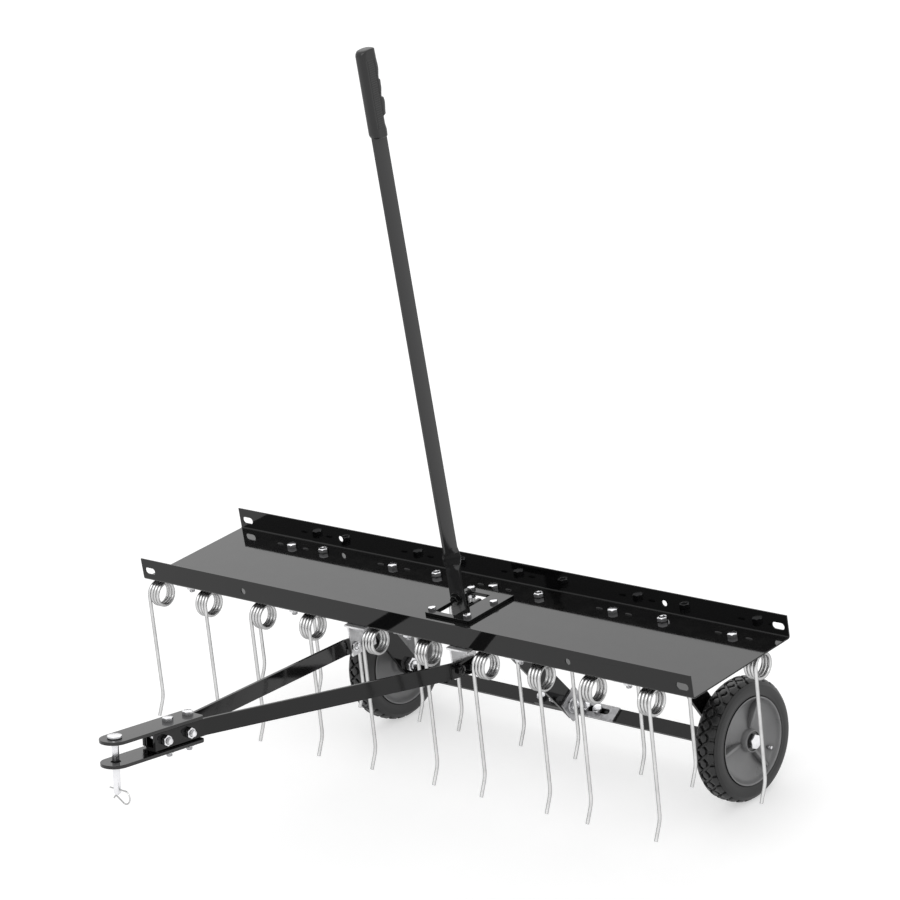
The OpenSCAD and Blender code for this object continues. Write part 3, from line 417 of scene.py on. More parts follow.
def add(tree, kind, given=None, **settings):
    """A node with its settings, and with its inputs set or linked by name or number."""
    node = tree.nodes.new(kind)
    for key, value in settings.items():
        setattr(node, key, value)
    for key, value in (given or {}).items():
        if isinstance(value, bpy.types.NodeSocket):
            tree.links.new(value, node.inputs[key])
        else:
            node.inputs[key].default_value = value
    return node


def maths(tree, operation, first, second):
    return add(tree, "ShaderNodeMath", {0: first, 1: second}, operation=operation).outputs[0]


def blended(tree, mask, first, second):
    """A colour between two others."""
    return add(tree, "ShaderNodeMix", {0: mask, 6: first, 7: second}, data_type="RGBA").outputs[2]


def ranged(tree, value, low, high, to_low=0.0, to_high=1.0):
    """A value carried from one range to another."""
    given = dict(enumerate((value, low, high, to_low, to_high)))
    return add(tree, "ShaderNodeMapRange", given).outputs[0]


def bumped(tree, height, strength, distance):
    return add(tree, "ShaderNodeBump", {"Height": height, "Strength": strength,
                              "Distance": distance}).outputs[0]


def noise(tree, scale, detail, roughness=0.5, stretch=None):
    """Noise that stays with its piece, and may be stretched by a vector."""
    where = add(tree, "ShaderNodeTexCoord").outputs["Object"]
    if stretch is not None:
        where = add(tree, "ShaderNodeVectorMath", {0: where, 1: stretch},
                    operation="MULTIPLY").outputs[0]
    return add(tree, "ShaderNodeTexNoise", {"Vector": where, "Scale": scale, "Detail": detail,
                                  "Roughness": roughness}).outputs[0]


def node_group(name, inputs, outputs, build):
    """A node group with named sockets, built the first time that it is asked for."""
    group = bpy.data.node_groups.get(name)
    if group is not None:
        return group
    group = bpy.data.node_groups.new(name, "ShaderNodeTree")
    for label, default in inputs.items():
        socket = group.interface.new_socket(name=label, in_out="INPUT",
                                            socket_type="NodeSocketFloat")
        socket.default_value = default
    for label in outputs:
        group.interface.new_socket(name=label, in_out="OUTPUT", socket_type="NodeSocketFloat")
    given = add(group, "NodeGroupInput")
    made = add(group, "NodeGroupOutput")
    for label, value in zip(outputs, build(group, given.outputs)):
        group.links.new(value, made.inputs[label])
    return group


def effect(name, outputs, inputs):
    """Lets a function that builds nodes put them into a tree as a shared node group."""
    def shared(build):
        def use(tree, **values):
            given = {key.replace("_", " "): value for key, value in values.items()}
            group = node_group(name, inputs, outputs, build)
            return add(tree, "ShaderNodeGroup", given, node_tree=group).outputs
        return use
    return shared


@effect("Edge Wear", ["Mask"], {"Reach": 0.6 * MM, "Breakup Scale": 120.0, "Amount": 0.5})
def edge_wear(tree, given):
    bevel = add(tree, "ShaderNodeBevel", {"Radius": given["Reach"]}, samples=4).outputs[0]
    normal = add(tree, "ShaderNodeNewGeometry").outputs["Normal"]
    dot = add(tree, "ShaderNodeVectorMath", {0: bevel, 1: normal}, operation="DOT_PRODUCT")
    turned = maths(tree, "SUBTRACT", 1.0, dot.outputs["Value"])
    edge = ranged(tree, turned, 0.01, 0.12)
    broken = ranged(tree, noise(tree, given["Breakup Scale"], 3.0), 0.35, 0.65)
    return [maths(tree, "MULTIPLY", maths(tree, "MULTIPLY", edge, broken), given["Amount"])]


@effect("Fine Grain", ["Height", "Mask"], {"Scale": 900.0, "Detail": 2.0})
def fine_grain(tree, given):
    height = noise(tree, given["Scale"], given["Detail"], 0.55)
    return [height, ranged(tree, height, 0.3, 0.7)]


@effect("Drawn Lines", ["Height", "Mask"], {"Across": 1400.0, "Along": 60.0})
def drawn_lines(tree, given):
    stretch = add(tree, "ShaderNodeCombineXYZ", {"X": given["Across"], "Y": given["Across"],
                                       "Z": given["Along"]}).outputs[0]
    height = noise(tree, 1.0, 3.0, 0.6, stretch)
    return [height, ranged(tree, height, 0.35, 0.7)]


@effect("Settled Dust", ["Mask"], {"Scale": 35.0, "Amount": 0.1})
def settled_dust(tree, given):
    normal = add(tree, "ShaderNodeNewGeometry").outputs["Normal"]
    apart = add(tree, "ShaderNodeSeparateXYZ", {0: normal})
    upward = ranged(tree, apart.outputs[2], 0.2, 1.0)
    patch = ranged(tree, noise(tree, given["Scale"], 6.0, 0.65), 0.45, 0.75)
    return [maths(tree, "MULTIPLY", maths(tree, "MULTIPLY", upward, patch), given["Amount"])]


# Painted shade: a mask that is high where ambient occlusion finds other surfaces near
@effect("Corner Shade", ["Mask"], {"Reach": 6 * MM})
def corner_shade(tree, given):
    painted_shade = add(tree, "ShaderNodeAmbientOcclusion", {"Distance": given["Reach"]}, samples=8)
    return [ranged(tree, painted_shade.outputs["AO"], 0.35, 0.92, 1.0, 0.0)]


# Finishes: each gives the inputs of its shader

def shade(key, share=1.0):
    """One of the panel's colours, or a darker share of it."""
    colour = getattr(bpy.context.scene.dethatcher_colours, key)
    return tuple(share * part for part in colour[:3]) + (1.0,)


def powder_coat(tree, base, index, least_rough):
    """Gloss powder coat: orange peel, faint dust and slightly worn edges."""
    peel = fine_grain(tree, Scale=420.0, Detail=1.5)["Height"]
    cloud = fine_grain(tree, Scale=14.0, Detail=4.0)["Mask"]
    worn = edge_wear(tree, Reach=0.5 * MM, Breakup_Scale=160.0, Amount=0.35)["Mask"]
    dust = settled_dust(tree, Scale=45.0, Amount=0.02)["Mask"]
    painted = blended(tree, worn, shade(base), shade("paint_edge"))
    rough = ranged(tree, cloud, 0.0, 1.0, least_rough, least_rough + 0.03)
    return {"Base Color": blended(tree, dust, painted, shade("dust")),
            "Roughness": maths(tree, "ADD", rough, maths(tree, "MULTIPLY", worn, 0.25)),
            "Normal": bumped(tree, peel, 0.015, 0.2 * MM), "IOR": index}


def bright_zinc(tree):
    """Bright zinc plating on turned and forged fasteners, with painted shade in corners and under
    heads.
    """
    grain = fine_grain(tree, Scale=700.0, Detail=3.0)["Height"]
    bloom = fine_grain(tree, Scale=90.0, Detail=4.0)["Mask"]
    worn = edge_wear(tree, Reach=0.4 * MM, Breakup_Scale=300.0, Amount=0.6)["Mask"]
    # Painted shade: the plating turns dark in corners and down the sides of heads near a plate
    painted_shade = corner_shade(tree, Reach=13 * MM)["Mask"]
    plate = blended(tree, bloom, shade("zinc_dull"), shade("zinc"))
    plate = blended(tree, worn, plate, shade("zinc_edge"))
    return {"Base Color": blended(tree, painted_shade, plate, shade("zinc_painted_shade")), "Metallic": 1.0,
            "Roughness": ranged(tree, bloom, 0.0, 1.0, 0.30, 0.18),
            "Normal": bumped(tree, grain, 0.06, 0.1 * MM)}


def spring_wire(tree):
    """Plated spring wire: fine lines along it, and painted shade where it turns from the viewer.
    """
    lines = drawn_lines(tree, Across=1500.0, Along=70.0)
    bloom = fine_grain(tree, Scale=60.0, Detail=4.0)["Mask"]
    wire = blended(tree, bloom, shade("wire_dull"), shade("wire"))
    # Painted shade: the wire darkens where its surface turns away from the viewer
    turned = add(tree, "ShaderNodeLayerWeight", {"Blend": 0.55}).outputs["Facing"]
    return {"Base Color": blended(tree, turned, wire, shade("wire_side")), "Metallic": 1.0,
            "Roughness": ranged(tree, lines["Mask"], 0.0, 1.0, 0.36, 0.22),
            "Normal": bumped(tree, lines["Height"], 0.10, 0.1 * MM)}


def zinc_sheet(tree, bright, dull, edge, least_rough):
    """Galvanised sheet with a faint spangle of zinc crystals."""
    where = add(tree, "ShaderNodeTexCoord").outputs["Object"]
    crystals = add(tree, "ShaderNodeTexVoronoi", {"Vector": where, "Scale": 190.0,
                                                  "Randomness": 1.0})
    apart = add(tree, "ShaderNodeSeparateColor", {0: crystals.outputs["Color"]}).outputs
    grain = fine_grain(tree, Scale=800.0, Detail=3.0)["Height"]
    worn = edge_wear(tree, Reach=0.5 * MM, Breakup_Scale=200.0, Amount=0.4)["Mask"]
    sheet = blended(tree, apart[0], shade(dull), shade(bright))
    return {"Base Color": blended(tree, worn, sheet, shade(edge)), "Metallic": 0.85,
            "Roughness": ranged(tree, apart[1], 0.0, 1.0, least_rough, least_rough + 0.14),
            "Normal": bumped(tree, grain, 0.07, 0.1 * MM)}


def moulded(tree, colour, edge, roughness, grain_scale, grain_deep, nook_share=0.35,
            nook_reach=5 * MM):
    """Moulded plastic or rubber with a fine texture, paler edges from wear (on the tyre also a
    painted highlight) and painted shade in corners.
    """
    grain = fine_grain(tree, Scale=grain_scale, Detail=3.0)["Height"]
    cloud = fine_grain(tree, Scale=30.0, Detail=4.0)["Mask"]
    worn = edge_wear(tree, Reach=0.7 * MM, Breakup_Scale=140.0, Amount=0.45)["Mask"]
    dust = settled_dust(tree, Scale=60.0, Amount=0.06)["Mask"]
    # Painted shade: darker in corners and hollows, such as the rim's bowl by its ribs and hub,
    # and the tread's grooves
    painted_shade = corner_shade(tree, Reach=nook_reach)["Mask"]
    body = blended(tree, cloud, shade(colour, 0.86), shade(colour))
    # Paler edges: wear, and on the tyre also a painted highlight
    body = blended(tree, worn, body, shade(edge))
    body = blended(tree, dust, body, shade("dust"))
    return {"Base Color": blended(tree, painted_shade, body, shade(colour, nook_share)),
            "Roughness": ranged(tree, cloud, 0.0, 1.0, roughness - 0.04, roughness + 0.05),
            "Normal": bumped(tree, grain, grain_deep, 0.15 * MM)}


FINISHES = {
    "black_paint": (powder_coat, {"base": "paint", "index": 1.395, "least_rough": 0.05}),
    "hitch_paint": (powder_coat, {"base": "paint", "index": 1.53, "least_rough": 0.08}),
    "lever_paint": (powder_coat, {"base": "lever_paint", "index": 1.48, "least_rough": 0.12}),
    "zinc": (bright_zinc, {}),
    "spring_zinc": (spring_wire, {}),
    "galvanised": (zinc_sheet, {"bright": "galvanised", "dull": "galvanised_dull",
                                "edge": "zinc_edge", "least_rough": 0.34}),
    "bracket_zinc": (zinc_sheet, {"bright": "bracket", "dull": "bracket_dull",
                                  "edge": "galvanised", "least_rough": 0.26}),
    # Moulded looks below darken their corners with painted shade, by the share and reach given
    "rim_plastic": (moulded, {"colour": "rim", "edge": "rim_edge", "roughness": 0.3,
                              "grain_scale": 900.0, "grain_deep": 0.06, "nook_share": 0.22,
                              "nook_reach": 20 * MM}),
    # The tyre's paler block edges are wear and a painted highlight
    "tyre_rubber": (moulded, {"colour": "rubber", "edge": "tread_edge", "roughness": 0.42,
                              "grain_scale": 650.0, "grain_deep": 0.25, "nook_share": 0.2}),
    "grip_plastic": (moulded, {"colour": "grip", "edge": "grip_edge", "roughness": 0.34,
                               "grain_scale": 1100.0, "grain_deep": 0.12})}


def finish(look):
    """The material of a look, made the first time that it is asked for."""
    name = look.replace("_", " ").capitalize()
    material = bpy.data.materials.get(name)
    if material is None:
        material = bpy.data.materials.new(name)
        tree = cleared(material)
        build, values = FINISHES[look]
        shader = add(tree, "ShaderNodeBsdfPrincipled", build(tree, **values))
        add(tree, "ShaderNodeOutputMaterial", {0: shader.outputs[0]})
    return material


# Tines

def coil_at(turn):
    """A coil's wire, outward from the tine bolt; the turn is counted from the front."""
    angle = pi - 2 * pi * turn
    out = COIL_SPREAD + COIL_PITCH * COIL_TURNS / 2
    return Vector((out - COIL_PITCH * turn, COIL_R * cos(angle) - COIL_FORWARD,
                   COIL_R * sin(angle) - COIL_DROP))


def hook_at(angle, wire_r):
    """The wire from the coil's top round the bolt, a quarter of an ellipse that rises."""
    coil_in = COIL_SPREAD - COIL_PITCH * COIL_TURNS / 2
    wire_in = coil_in - HOOK_L
    coil_top = COIL_R - COIL_DROP
    wire_z = -REST_GAP - wire_r
    wire_y = BOLT_R + HOLE_GAP + wire_r + REST_GAP
    return Vector((wire_in + (coil_in - wire_in) * cos(angle),
                   (wire_y + COIL_FORWARD) * sin(angle) - COIL_FORWARD,
                   coil_top + (wire_z - coil_top) * (1 - cos(2 * angle)) / 2))


def tine_path(sizes):
    """The whole wire from its left tip to its right tip."""
    knee_half = 9 * MM
    knee_steps, shank_steps, hook_steps = 6, 4, 14
    knee = coil_at(0) + Vector((0, -SHANK_LEAN, -SHANK_DROP))
    tip = knee + Vector((0, -FOOT_REACH, -FOOT_DROP))
    foot = (tip - knee).normalized()
    shank = (coil_at(0) - knee).normalized()
    half = [tip]
    half += bend(knee + foot * knee_half, knee, knee + shank * knee_half, knee_steps)
    start = half[-1]
    half += [start.lerp(coil_at(0), i / shank_steps) for i in range(1, shank_steps)]
    curl_points = round(COIL_TURNS * sizes.curl_steps)
    half += [coil_at(COIL_TURNS * i / curl_points) for i in range(curl_points + 1)]
    half += [hook_at(pi / 2 * i / hook_steps, sizes.wire_diameter / 2)
             for i in range(1, hook_steps + 1)]
    return [Vector((-point.x, point.y, point.z)) for point in half] + half[::-1]


def make_tines(sizes):
    path = tine_path(sizes)
    first = -TINE_PITCH * (TINES_IN_ROW - 1) / 2
    for row, word in ((-1, "front"), (1, "rear")):
        for i in range(TINES_IN_ROW):
            x = first + i * TINE_PITCH + row * ROW_SHIFT + ROW_NUDGE[row][i] * MM
            middle = DECK @ Vector((x, row * ROW_Y, 0))
            wire = swept([middle + point for point in path], sizes.wire_diameter / 2,
                         sizes.wire_sides, TIP_CHAMFER)
            Shape().skin(wire).place("%s_tine_wire_%d" % (word, i + 1), "deck", "spring_zinc",
                                     "%s_tine_%d" % (word, i + 1))
        softened("%s_tine_clamps" % word, "%s_tine_clamp_plates" % word, "deck", "galvanised")


# Fasteners

def solids_of(node):
    """The corners of each separate solid of a node."""
    work = bmesh.new()
    work.from_mesh(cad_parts[node].data)
    bmesh.ops.remove_doubles(work, verts=work.verts, dist=WELD)
    left = set(work.verts)
    solids = []
    while left:
        found = [left.pop()]
        for corner in found:
            for edge in corner.link_edges:
                other = edge.other_vert(corner)
                if other in left:
                    left.remove(other)
                    found.append(other)
        solids.append([corner.co.copy() for corner in found])
    work.free()
    return sorted(solids, key=lambda corners: tuple(round(v, 5) for v in middle_of(corners)))


class Turned:
    """A solid seen along its own axis: heights, and distances and angles about the axis."""

    def __init__(self, corners, axis):
        self.axis = axis.normalized()
        self.side = self.axis.orthogonal().normalized()
        self.across = self.axis.cross(self.side)
        self.foot = Vector()
        for way in (self.side, self.across):
            reach = [corner.dot(way) for corner in corners]
            self.foot += way * (min(reach) + max(reach)) / 2
        self.seen = []
        for corner in corners:
            off = corner - self.foot
            x, y = off.dot(self.side), off.dot(self.across)
            self.seen.append((off.dot(self.axis), sqrt(x * x + y * y), atan2(y, x)))
        self.wide = max(r for h, r, a in self.seen)
        self.narrow = min(r for h, r, a in self.seen if r > 1 * MM)

    def near(self, radius):
        """The corners at about this distance from the axis."""
        return [corner for corner in self.seen
                if abs(corner[1] - radius) < RADIUS_SLACK * radius]

    def span(self, radius=None):
        """Lowest and highest corner, of all or of those at about a distance."""
        heights = [h for h, r, a in (self.seen if radius is None else self.near(radius))]
        return min(heights), max(heights)

    def ring(self, height, radii):
        middle = self.foot + self.axis * height
        return [middle + (self.side * cos(turn) + self.across * sin(turn)) * radius
                for turn, radius in zip(turns(len(radii)), radii)]

    def rings(self, profile, count=HEX_POINTS):
        """Round rings of a profile, which has heights and radii."""
        return [self.ring(height, [radius] * count) for height, radius in profile]


def chamfered_hex(turned, low, high, corner, both):
    """Rings of a hexagon with rounded corners on its upper end or on both ends."""
    steps = 4
    half_flat = corner * cos(pi / 6)
    least = half_flat * HEX_CUT
    deep = (corner - least) * HEX_CUT_SLOPE
    turn = turned.near(corner)[0][2]
    ends = []
    for i in range(steps + 1):
        full = least + (corner - least) * i / steps
        ends.append((low + deep * i / steps, full if both else corner))
    for i in range(steps + 1):
        ends.append((high - deep * (1 - i / steps), corner - (corner - least) * i / steps))
    return [turned.ring(height, [min(half_flat / cos((angle - turn) % (pi / 3) - pi / 6), cap)
                                 for angle in turns(HEX_POINTS)]) for height, cap in ends]


def threaded(turned, low, high, thread_l):
    """A shank whose free end, at the low height, has rings of thread."""
    radius = turned.narrow
    profile = [(low, radius - 2 * THREAD_DEEP), (low + THREAD_DEEP, radius - THREAD_DEEP * 0.4)]
    height = low + THREAD_PITCH
    while height < min(low + thread_l, high - THREAD_PITCH):
        profile += [(height + THREAD_PITCH * up, radius - THREAD_DEEP * deep)
                    for up, deep in ((-0.25, 1), (0, 0), (0.15, 0), (0.4, 1))]
        height += THREAD_PITCH
    return turned.rings(profile + [(height, radius), (high, radius)], ROUND_POINTS)


def head_up(corners, axis, head_r=None):
    """A bolt seen along its axis, with its head at the upper end."""
    turned = Turned(corners, axis)
    head, whole = turned.span(head_r or turned.wide), turned.span()
    if whole[1] - head[1] > head[0] - whole[0]:
        return Turned(corners, -axis)
    return turned


def bolt_shapes(shape, corners, axis, head_flat):
    """A bolt with its hexagon head, its threaded end and any washer under the head."""
    corner = head_flat / 2 / cos(pi / 6)
    turned = head_up(corners, axis, corner)
    low, high = turned.span(corner)
    shape.skin(chamfered_hex(turned, low, high, corner, False))
    shape.skin(threaded(turned, turned.span()[0], low + 0.5 * MM, THREAD_L))
    wide = turned.wide
    if wide > corner * 1.1:
        low, high = turned.span(wide)
        ease = 0.3 * MM
        shape.skin(turned.rings([(low, wide - ease), (low + ease, wide), (high - ease, wide),
                                 (high, wide - ease)]))


def round_bolt_shapes(shape, corners, axis):
    """A bolt with a low domed head."""
    steps = 7
    turned = head_up(corners, axis)
    low, high = turned.span()
    seat = turned.span(turned.wide)[0]
    profile = [(seat, turned.wide)]
    for i in range(1, steps + 1):
        angle = pi / 2 * i / steps
        profile.append((seat + (high - seat) * (0.2 + 0.8 * sin(angle)),
                        max(turned.wide * cos(angle), 0.4 * MM)))
    shape.skin(turned.rings(profile))
    shape.skin(threaded(turned, low, seat + 0.4 * MM, ROUND_THREAD_L))


def nut_shapes(shape, corners, axis):
    """A nut with both ends rounded off and its bore open."""
    turned = Turned(corners, axis)
    low, high = turned.span()
    bore, lead = turned.narrow, 0.6 * MM
    shape.skin(chamfered_hex(turned, low, high, turned.wide, True)
               + turned.rings([(high, bore + lead), (high - lead, bore), (low + lead, bore),
                               (low, bore + lead)]), loop=True)


def plating(node, corners):
    """The lever's bolt and the right strip's bolt are painted, the others are plated."""
    right_strip = node.startswith("drawbar") and middle_of(corners).x > 0
    return "black_paint" if node.startswith("lever") or right_strip else "zinc"


def thickness(corners, axis):
    heights = [corner.dot(axis) for corner in corners]
    return max(heights) - min(heights)


def make_fasteners():
    made = {}

    def shape_of(node, body, corners):
        return made.setdefault((node, body, plating(node, corners)), Shape())

    for node, (body, axis, flat) in BOLTS.items():
        for corners in solids_of(node):
            bolt_shapes(shape_of(node, body, corners), corners, axis, flat)
    for corners in solids_of("floor_bolts"):
        round_bolt_shapes(shape_of("floor_bolts", "deck", corners), corners, UP)
    for node, (body, axes) in NUTS.items():
        for corners in solids_of(node):
            axis = min(axes, key=lambda way: thickness(corners, way))
            nut_shapes(shape_of(node, body, corners), corners, axis)
    for (node, body, slot), shape in made.items():
        shape.place(node + ("_plated" if slot == "zinc" else "_painted"), body, slot, node)
    softened("axle_bushes", "axle_bushes_turned", "wheel_frame", "zinc")


def make_tabs():
    """The rounded tabs that show on the tray's floor, one on each side of a tine bolt."""
    steps = 10
    shape = Shape()
    for bolt in map(middle_of, solids_of("front_tine_bolts") + solids_of("rear_tine_bolts")):
        for side in (-1, 1):
            middle = Vector((bolt.x + side * TAB_PITCH, bolt.y + TAB_BACK,
                             TRAY_LOW.z + FLOOR_T))
            rings = []
            for i in range(steps + 1):
                turn = -pi / 2 + pi * i / steps
                full = max(0.12, cos(turn)) ** 0.6
                rings.append([middle + Vector((TAB_L / 2 * sin(turn), y * TAB_W / 2 * full,
                                               TAB_H * z * full if z else -TAB_SUNK))
                              for y, z in TAB_SECTION])
            shape.skin(rings)
    shape.place("tray_tabs", "deck", "black_paint", sharp=SOFT_FORM_SHARP)


# Hitch: spacer box, hitch pin and hair pin

def end_further_back(strip):
    """Draws the front end of a drawbar strip back, to just before its first bolt."""
    step = DRAWBAR.to_3x3() @ REAR * STRIP_CUT
    back = DRAWBAR.inverted()
    for vertex in strip.data.vertices:
        if (back @ vertex.co).y < STRIP_END:
            vertex.co += step


def make_spacer():
    """The square box between the hitch plates, open at the front and closed at the rear."""
    back = DRAWBAR.inverted()
    low, high = box_of([back @ vertex.co
                        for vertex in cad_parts["hitch_spacer"].data.vertices])
    middle = (low + high) / 2
    half = (high - low) / 2
    rings = []
    for y, inward in ((high.y - SPACER_WALL, SPACER_WALL), (low.y + SPACER_CUT, SPACER_WALL),
                      (low.y + SPACER_CUT, 0.0), (high.y, 0.0)):
        outline = rounded_section(half.x - inward, half.z - inward,
                                  SPACER_CORNER - inward * 0.6, 4)
        rings.append([DRAWBAR @ Vector((middle.x + x, y, middle.z + z)) for x, z in outline])
    Shape().skin(rings).place("hitch_spacer_tube", "deck", "black_paint", "hitch_spacer")


def make_pins(sizes):
    ease = 0.9 * MM
    turned = Turned([DRAWBAR @ Vector((x, y, 0)) for x in (-PIN_R, PIN_R)
                     for y in (-PIN_R, PIN_R)], ALONG_PIN)
    base = (DRAWBAR @ Vector((0, 0, 0)) - turned.foot).dot(turned.axis) + REST_GAP
    profile = ((-PIN_L, PIN_R - 2 * ease), (1.6 * ease - PIN_L, PIN_R - 0.4 * ease),
               (2.4 * ease - PIN_L, PIN_R), (-ease, PIN_R), (0, PIN_R + ease / 3),
               (0, PIN_HEAD_R - ease / 2), (ease / 2, PIN_HEAD_R),
               (PIN_HEAD_H - ease, PIN_HEAD_R), (PIN_HEAD_H - ease / 3, PIN_HEAD_R - ease / 3),
               (PIN_HEAD_H, PIN_HEAD_R - ease))
    shape = Shape().skin(turned.rings([(base + up, radius) for up, radius in profile]))
    shape.place("hitch_pin_turned", "tow_pin", "zinc", "hitch_pin")

    crook_half = 2 * MM
    height = CLIP_UP - PIN_L
    path = [Vector((-CLIP_LEG, 0, 0)), Vector((0, 0, 0))]
    for i in range(sizes.curl_steps + 1):
        angle = pi / 2 - (pi + CLIP_RETURN) * i / sizes.curl_steps
        path.append(Vector((PIN_R + CLIP_REACH + CLIP_LOOP_R * cos(angle), 0,
                            CLIP_LOOP_R * (sin(angle) - 1))))
    back = Vector((-cos(CLIP_RETURN), 0, sin(CLIP_RETURN)))
    tail = Vector((-cos(CLIP_TAIL), 0, -sin(CLIP_TAIL)))
    crook = path[-1] + back * CLIP_RETURN_L
    path += bend(crook - back * crook_half, crook, crook + tail * crook_half, 5)
    path.append(crook + tail * CLIP_TAIL_L)
    wire = swept([DRAWBAR @ (point + UP * height) for point in path], CLIP_D / 2, CLIP_SIDES,
                 CLIP_CHAMFER)
    Shape().skin(wire).place("hair_pin_wire", "pin_clip", "spring_zinc", "hair_pin")


# Lever

def make_lever():
    edge = 0.7 * MM
    twist_steps = 40
    section = rounded_section(LEVER_W / 2, LEVER_T / 2, edge, 3)
    middle = Vector((LEVER_X, FOOT_Y - LEVER_T / 2, 0))

    def outline(inward):
        """The bar's section, drawn in a little at its ends."""
        return [(x * (1 - 2 * inward / LEVER_W), y * (1 - 2 * inward / LEVER_T))
                for x, y in section]

    steps = [(LEVER_FOOT, 0, edge / 2), (LEVER_FOOT + edge / 2, 0, 0)]
    for i in range(twist_steps + 1):
        share = i / twist_steps
        steps.append((TWIST_Z + TWIST_L * share, pi / 2 * (share + eased(share)) / 2, 0))
    rings = [[middle + Vector((x * cos(turn) - y * sin(turn), x * sin(turn) + y * cos(turn),
                               height)) for x, y in outline(inward)]
             for height, turn, inward in steps]
    lean = (Matrix.Translation(middle + UP * (TWIST_Z + TWIST_L))
            @ Matrix.Rotation(LEVER_LEAN, 4, "X"))
    upper = LEVER_TOP - TWIST_Z - TWIST_L
    for height, inward in ((3 * MM, 0), (upper - edge, 0), (upper, edge / 4)):
        rings.append([lean @ Vector((-y, x, height)) for x, y in outline(inward)])
    shape = Shape().skin([[DECK @ corner for corner in ring] for ring in rings])
    shape.place("lever_flat_bar", "wheel_frame", "black_paint", "lever_bar", look="lever_paint")
    make_grip(lean, upper)


def make_grip(lean, upper):
    """A moulded grip: finger grooves at the rear, a ribbed panel on both broad sides."""
    ring_step = 0.5 * MM
    rib_pitch = 3 * MM
    rib_deep = 0.35 * MM
    panel_half = 6.2 * MM
    panel_ends = 14 * MM
    groove_half = 1.0 * MM
    groove_deep = 0.7 * MM
    end_ease = 1.6 * MM
    side_steps, corner_steps = 14, 6
    count = round(GRIP_L / ring_step)
    rings = []
    for i in range(count + 1):
        height = GRIP_L * i / count
        from_end = min(height, GRIP_L - height)
        drop = drawn_in(from_end, GRIP_END_R)
        rear_drop = max(drop, looked_up(GRIP_REAR_IN, height, eased))
        half_t = GRIP_T / 2 - drawn_in(from_end, end_ease)
        corner = min(GRIP_SIDE_R, half_t - 0.5 * MM)
        ring = []
        for side, reach in ((1, GRIP_W / 2 - rear_drop + GRIP_BACK),
                            (-1, GRIP_W / 2 - drop - GRIP_BACK)):
            quarter = []
            flat = max(reach - corner, 0.1 * MM)
            for k in range(side_steps + 1):
                y = flat * k / side_steps
                x = half_t
                if from_end > panel_ends:
                    edge_off = abs(y - panel_half)
                    if edge_off < groove_half:
                        x -= groove_deep * (1 - (edge_off / groove_half) ** 2)
                    elif y < panel_half:
                        x -= rib_deep * (0.5 + 0.5 * cos(2 * pi * height / rib_pitch))
                quarter.append((x, y))
            for k in range(1, corner_steps + 1):
                angle = pi / 2 * k / corner_steps
                quarter.append((half_t - corner + corner * cos(angle),
                                flat + (reach - flat) * sin(angle)))
            half = quarter + [(-x, y) for x, y in reversed(quarter)]
            ring += half if side > 0 else [(-x, -y) for x, y in half[1:-1]]
        rings.append([DECK @ (lean @ Vector((x, y, upper + GRIP_OVER - GRIP_L + height)))
                      for x, y in ring])
    Shape().skin(rings).place("lever_grip_moulded", "wheel_frame", "grip_plastic", "lever_grip",
                              sharp=SOFT_FORM_SHARP)


# Wheels

def crown(width):
    """Radius of the tread's top at a distance from the wheel's middle plane."""
    off = abs(width)
    radius = WHEEL_R - CROWN_DROP * (min(off, CROWN_FLAT) / CROWN_FLAT) ** 2
    return radius - max(off - CROWN_FLAT, 0.0) * SHOULDER_FALL


def tyre_profile(sizes):
    """The tyre's skin under its blocks, as radius and width, from one bead to the other."""
    gap = 0.1 * MM
    bead = HALF_W - LIP_T - gap
    half = [(SEAT_R + gap, bead), (LIP_R + 3 * gap, bead)]
    half += [(LIP_R + out * MM, HALF_W - deep * MM) for out, deep in SIDEWALL]
    half += [(crown(width * MM) - sizes.tread_depth, width * MM) for width in TREAD_WIDTHS]
    return half + [(radius, -width) for radius, width in reversed(half[:-1])]


def tread_block(shape, at, outline, turn, sizes):
    """One raised block: its outline is in mm along the tread and across it."""
    splits = 3
    middle_u, middle_w = (sum(values) / len(outline) for values in zip(*outline))
    fine = [(u + (after[0] - u) * k / splits, w + (after[1] - w) * k / splits)
            for (u, w), after in zip(outline, outline[1:] + outline[:1]) for k in range(splits)]
    steps = [(BLOCK_FOOT, sizes.tread_depth + BLOCK_SUNK)]
    steps += [(share, drop * MM) for share, drop in BLOCK_RINGS]
    rings = []
    for share, drop in steps:
        ring = []
        for u, w in fine:
            along = middle_u + (u - middle_u) * share
            across = (middle_w + (w - middle_w) * share) * MM
            ring.append(at(crown(across) - drop, across, turn + along * MM / WHEEL_R))
        rings.append(ring)
    shape.skin(rings)


def rim_profile():
    """The rim's whole section, as radius and width, closed."""
    face, back = [], []
    for radius, depth in BOWL:
        across = HALF_W - depth * MM
        face.append((radius * MM, across))
        back.append((radius * MM, -across if depth < 4
                     else min(across - BOWL_BACK, -HALF_W + depth * 1.2 * MM)))
    hub_half = HALF_W - HUB_IN
    collar = hub_half + COLLAR_H
    ease = 0.5 * MM
    lip = HALF_W - LIP_ROUND
    bore = [(HUB_R, collar - ease), (HUB_R - ease, collar), (HUB_R - COLLAR_WALL + ease, collar),
            (HUB_R - COLLAR_WALL, collar - ease), (HUB_R - COLLAR_WALL, hub_half),
            (AXLE_R + ease, hub_half), (AXLE_R, hub_half - ease), (AXLE_R, -hub_half + ease),
            (AXLE_R + ease, -hub_half), (HUB_R - ease, -hub_half), (HUB_R, -hub_half + ease)]
    barrel = [(LIP_R, -lip), (SEAT_R, -HALF_W + LIP_T), (SEAT_R, HALF_W - LIP_T), (LIP_R, lip)]
    return face[::-1] + bore + back + barrel


def lathed(at, profile, sizes):
    """Rings round the axle, one for each corner of a closed section."""
    return [[at(radius, width, angle) for angle in turns(sizes.tyre_steps)]
            for radius, width in profile]


def beside(at, out, off, width, turn):
    """A corner at a distance out along a spoke, and a distance off to its side."""
    return at(sqrt(out ** 2 + off ** 2), width, turn + atan2(off, out))


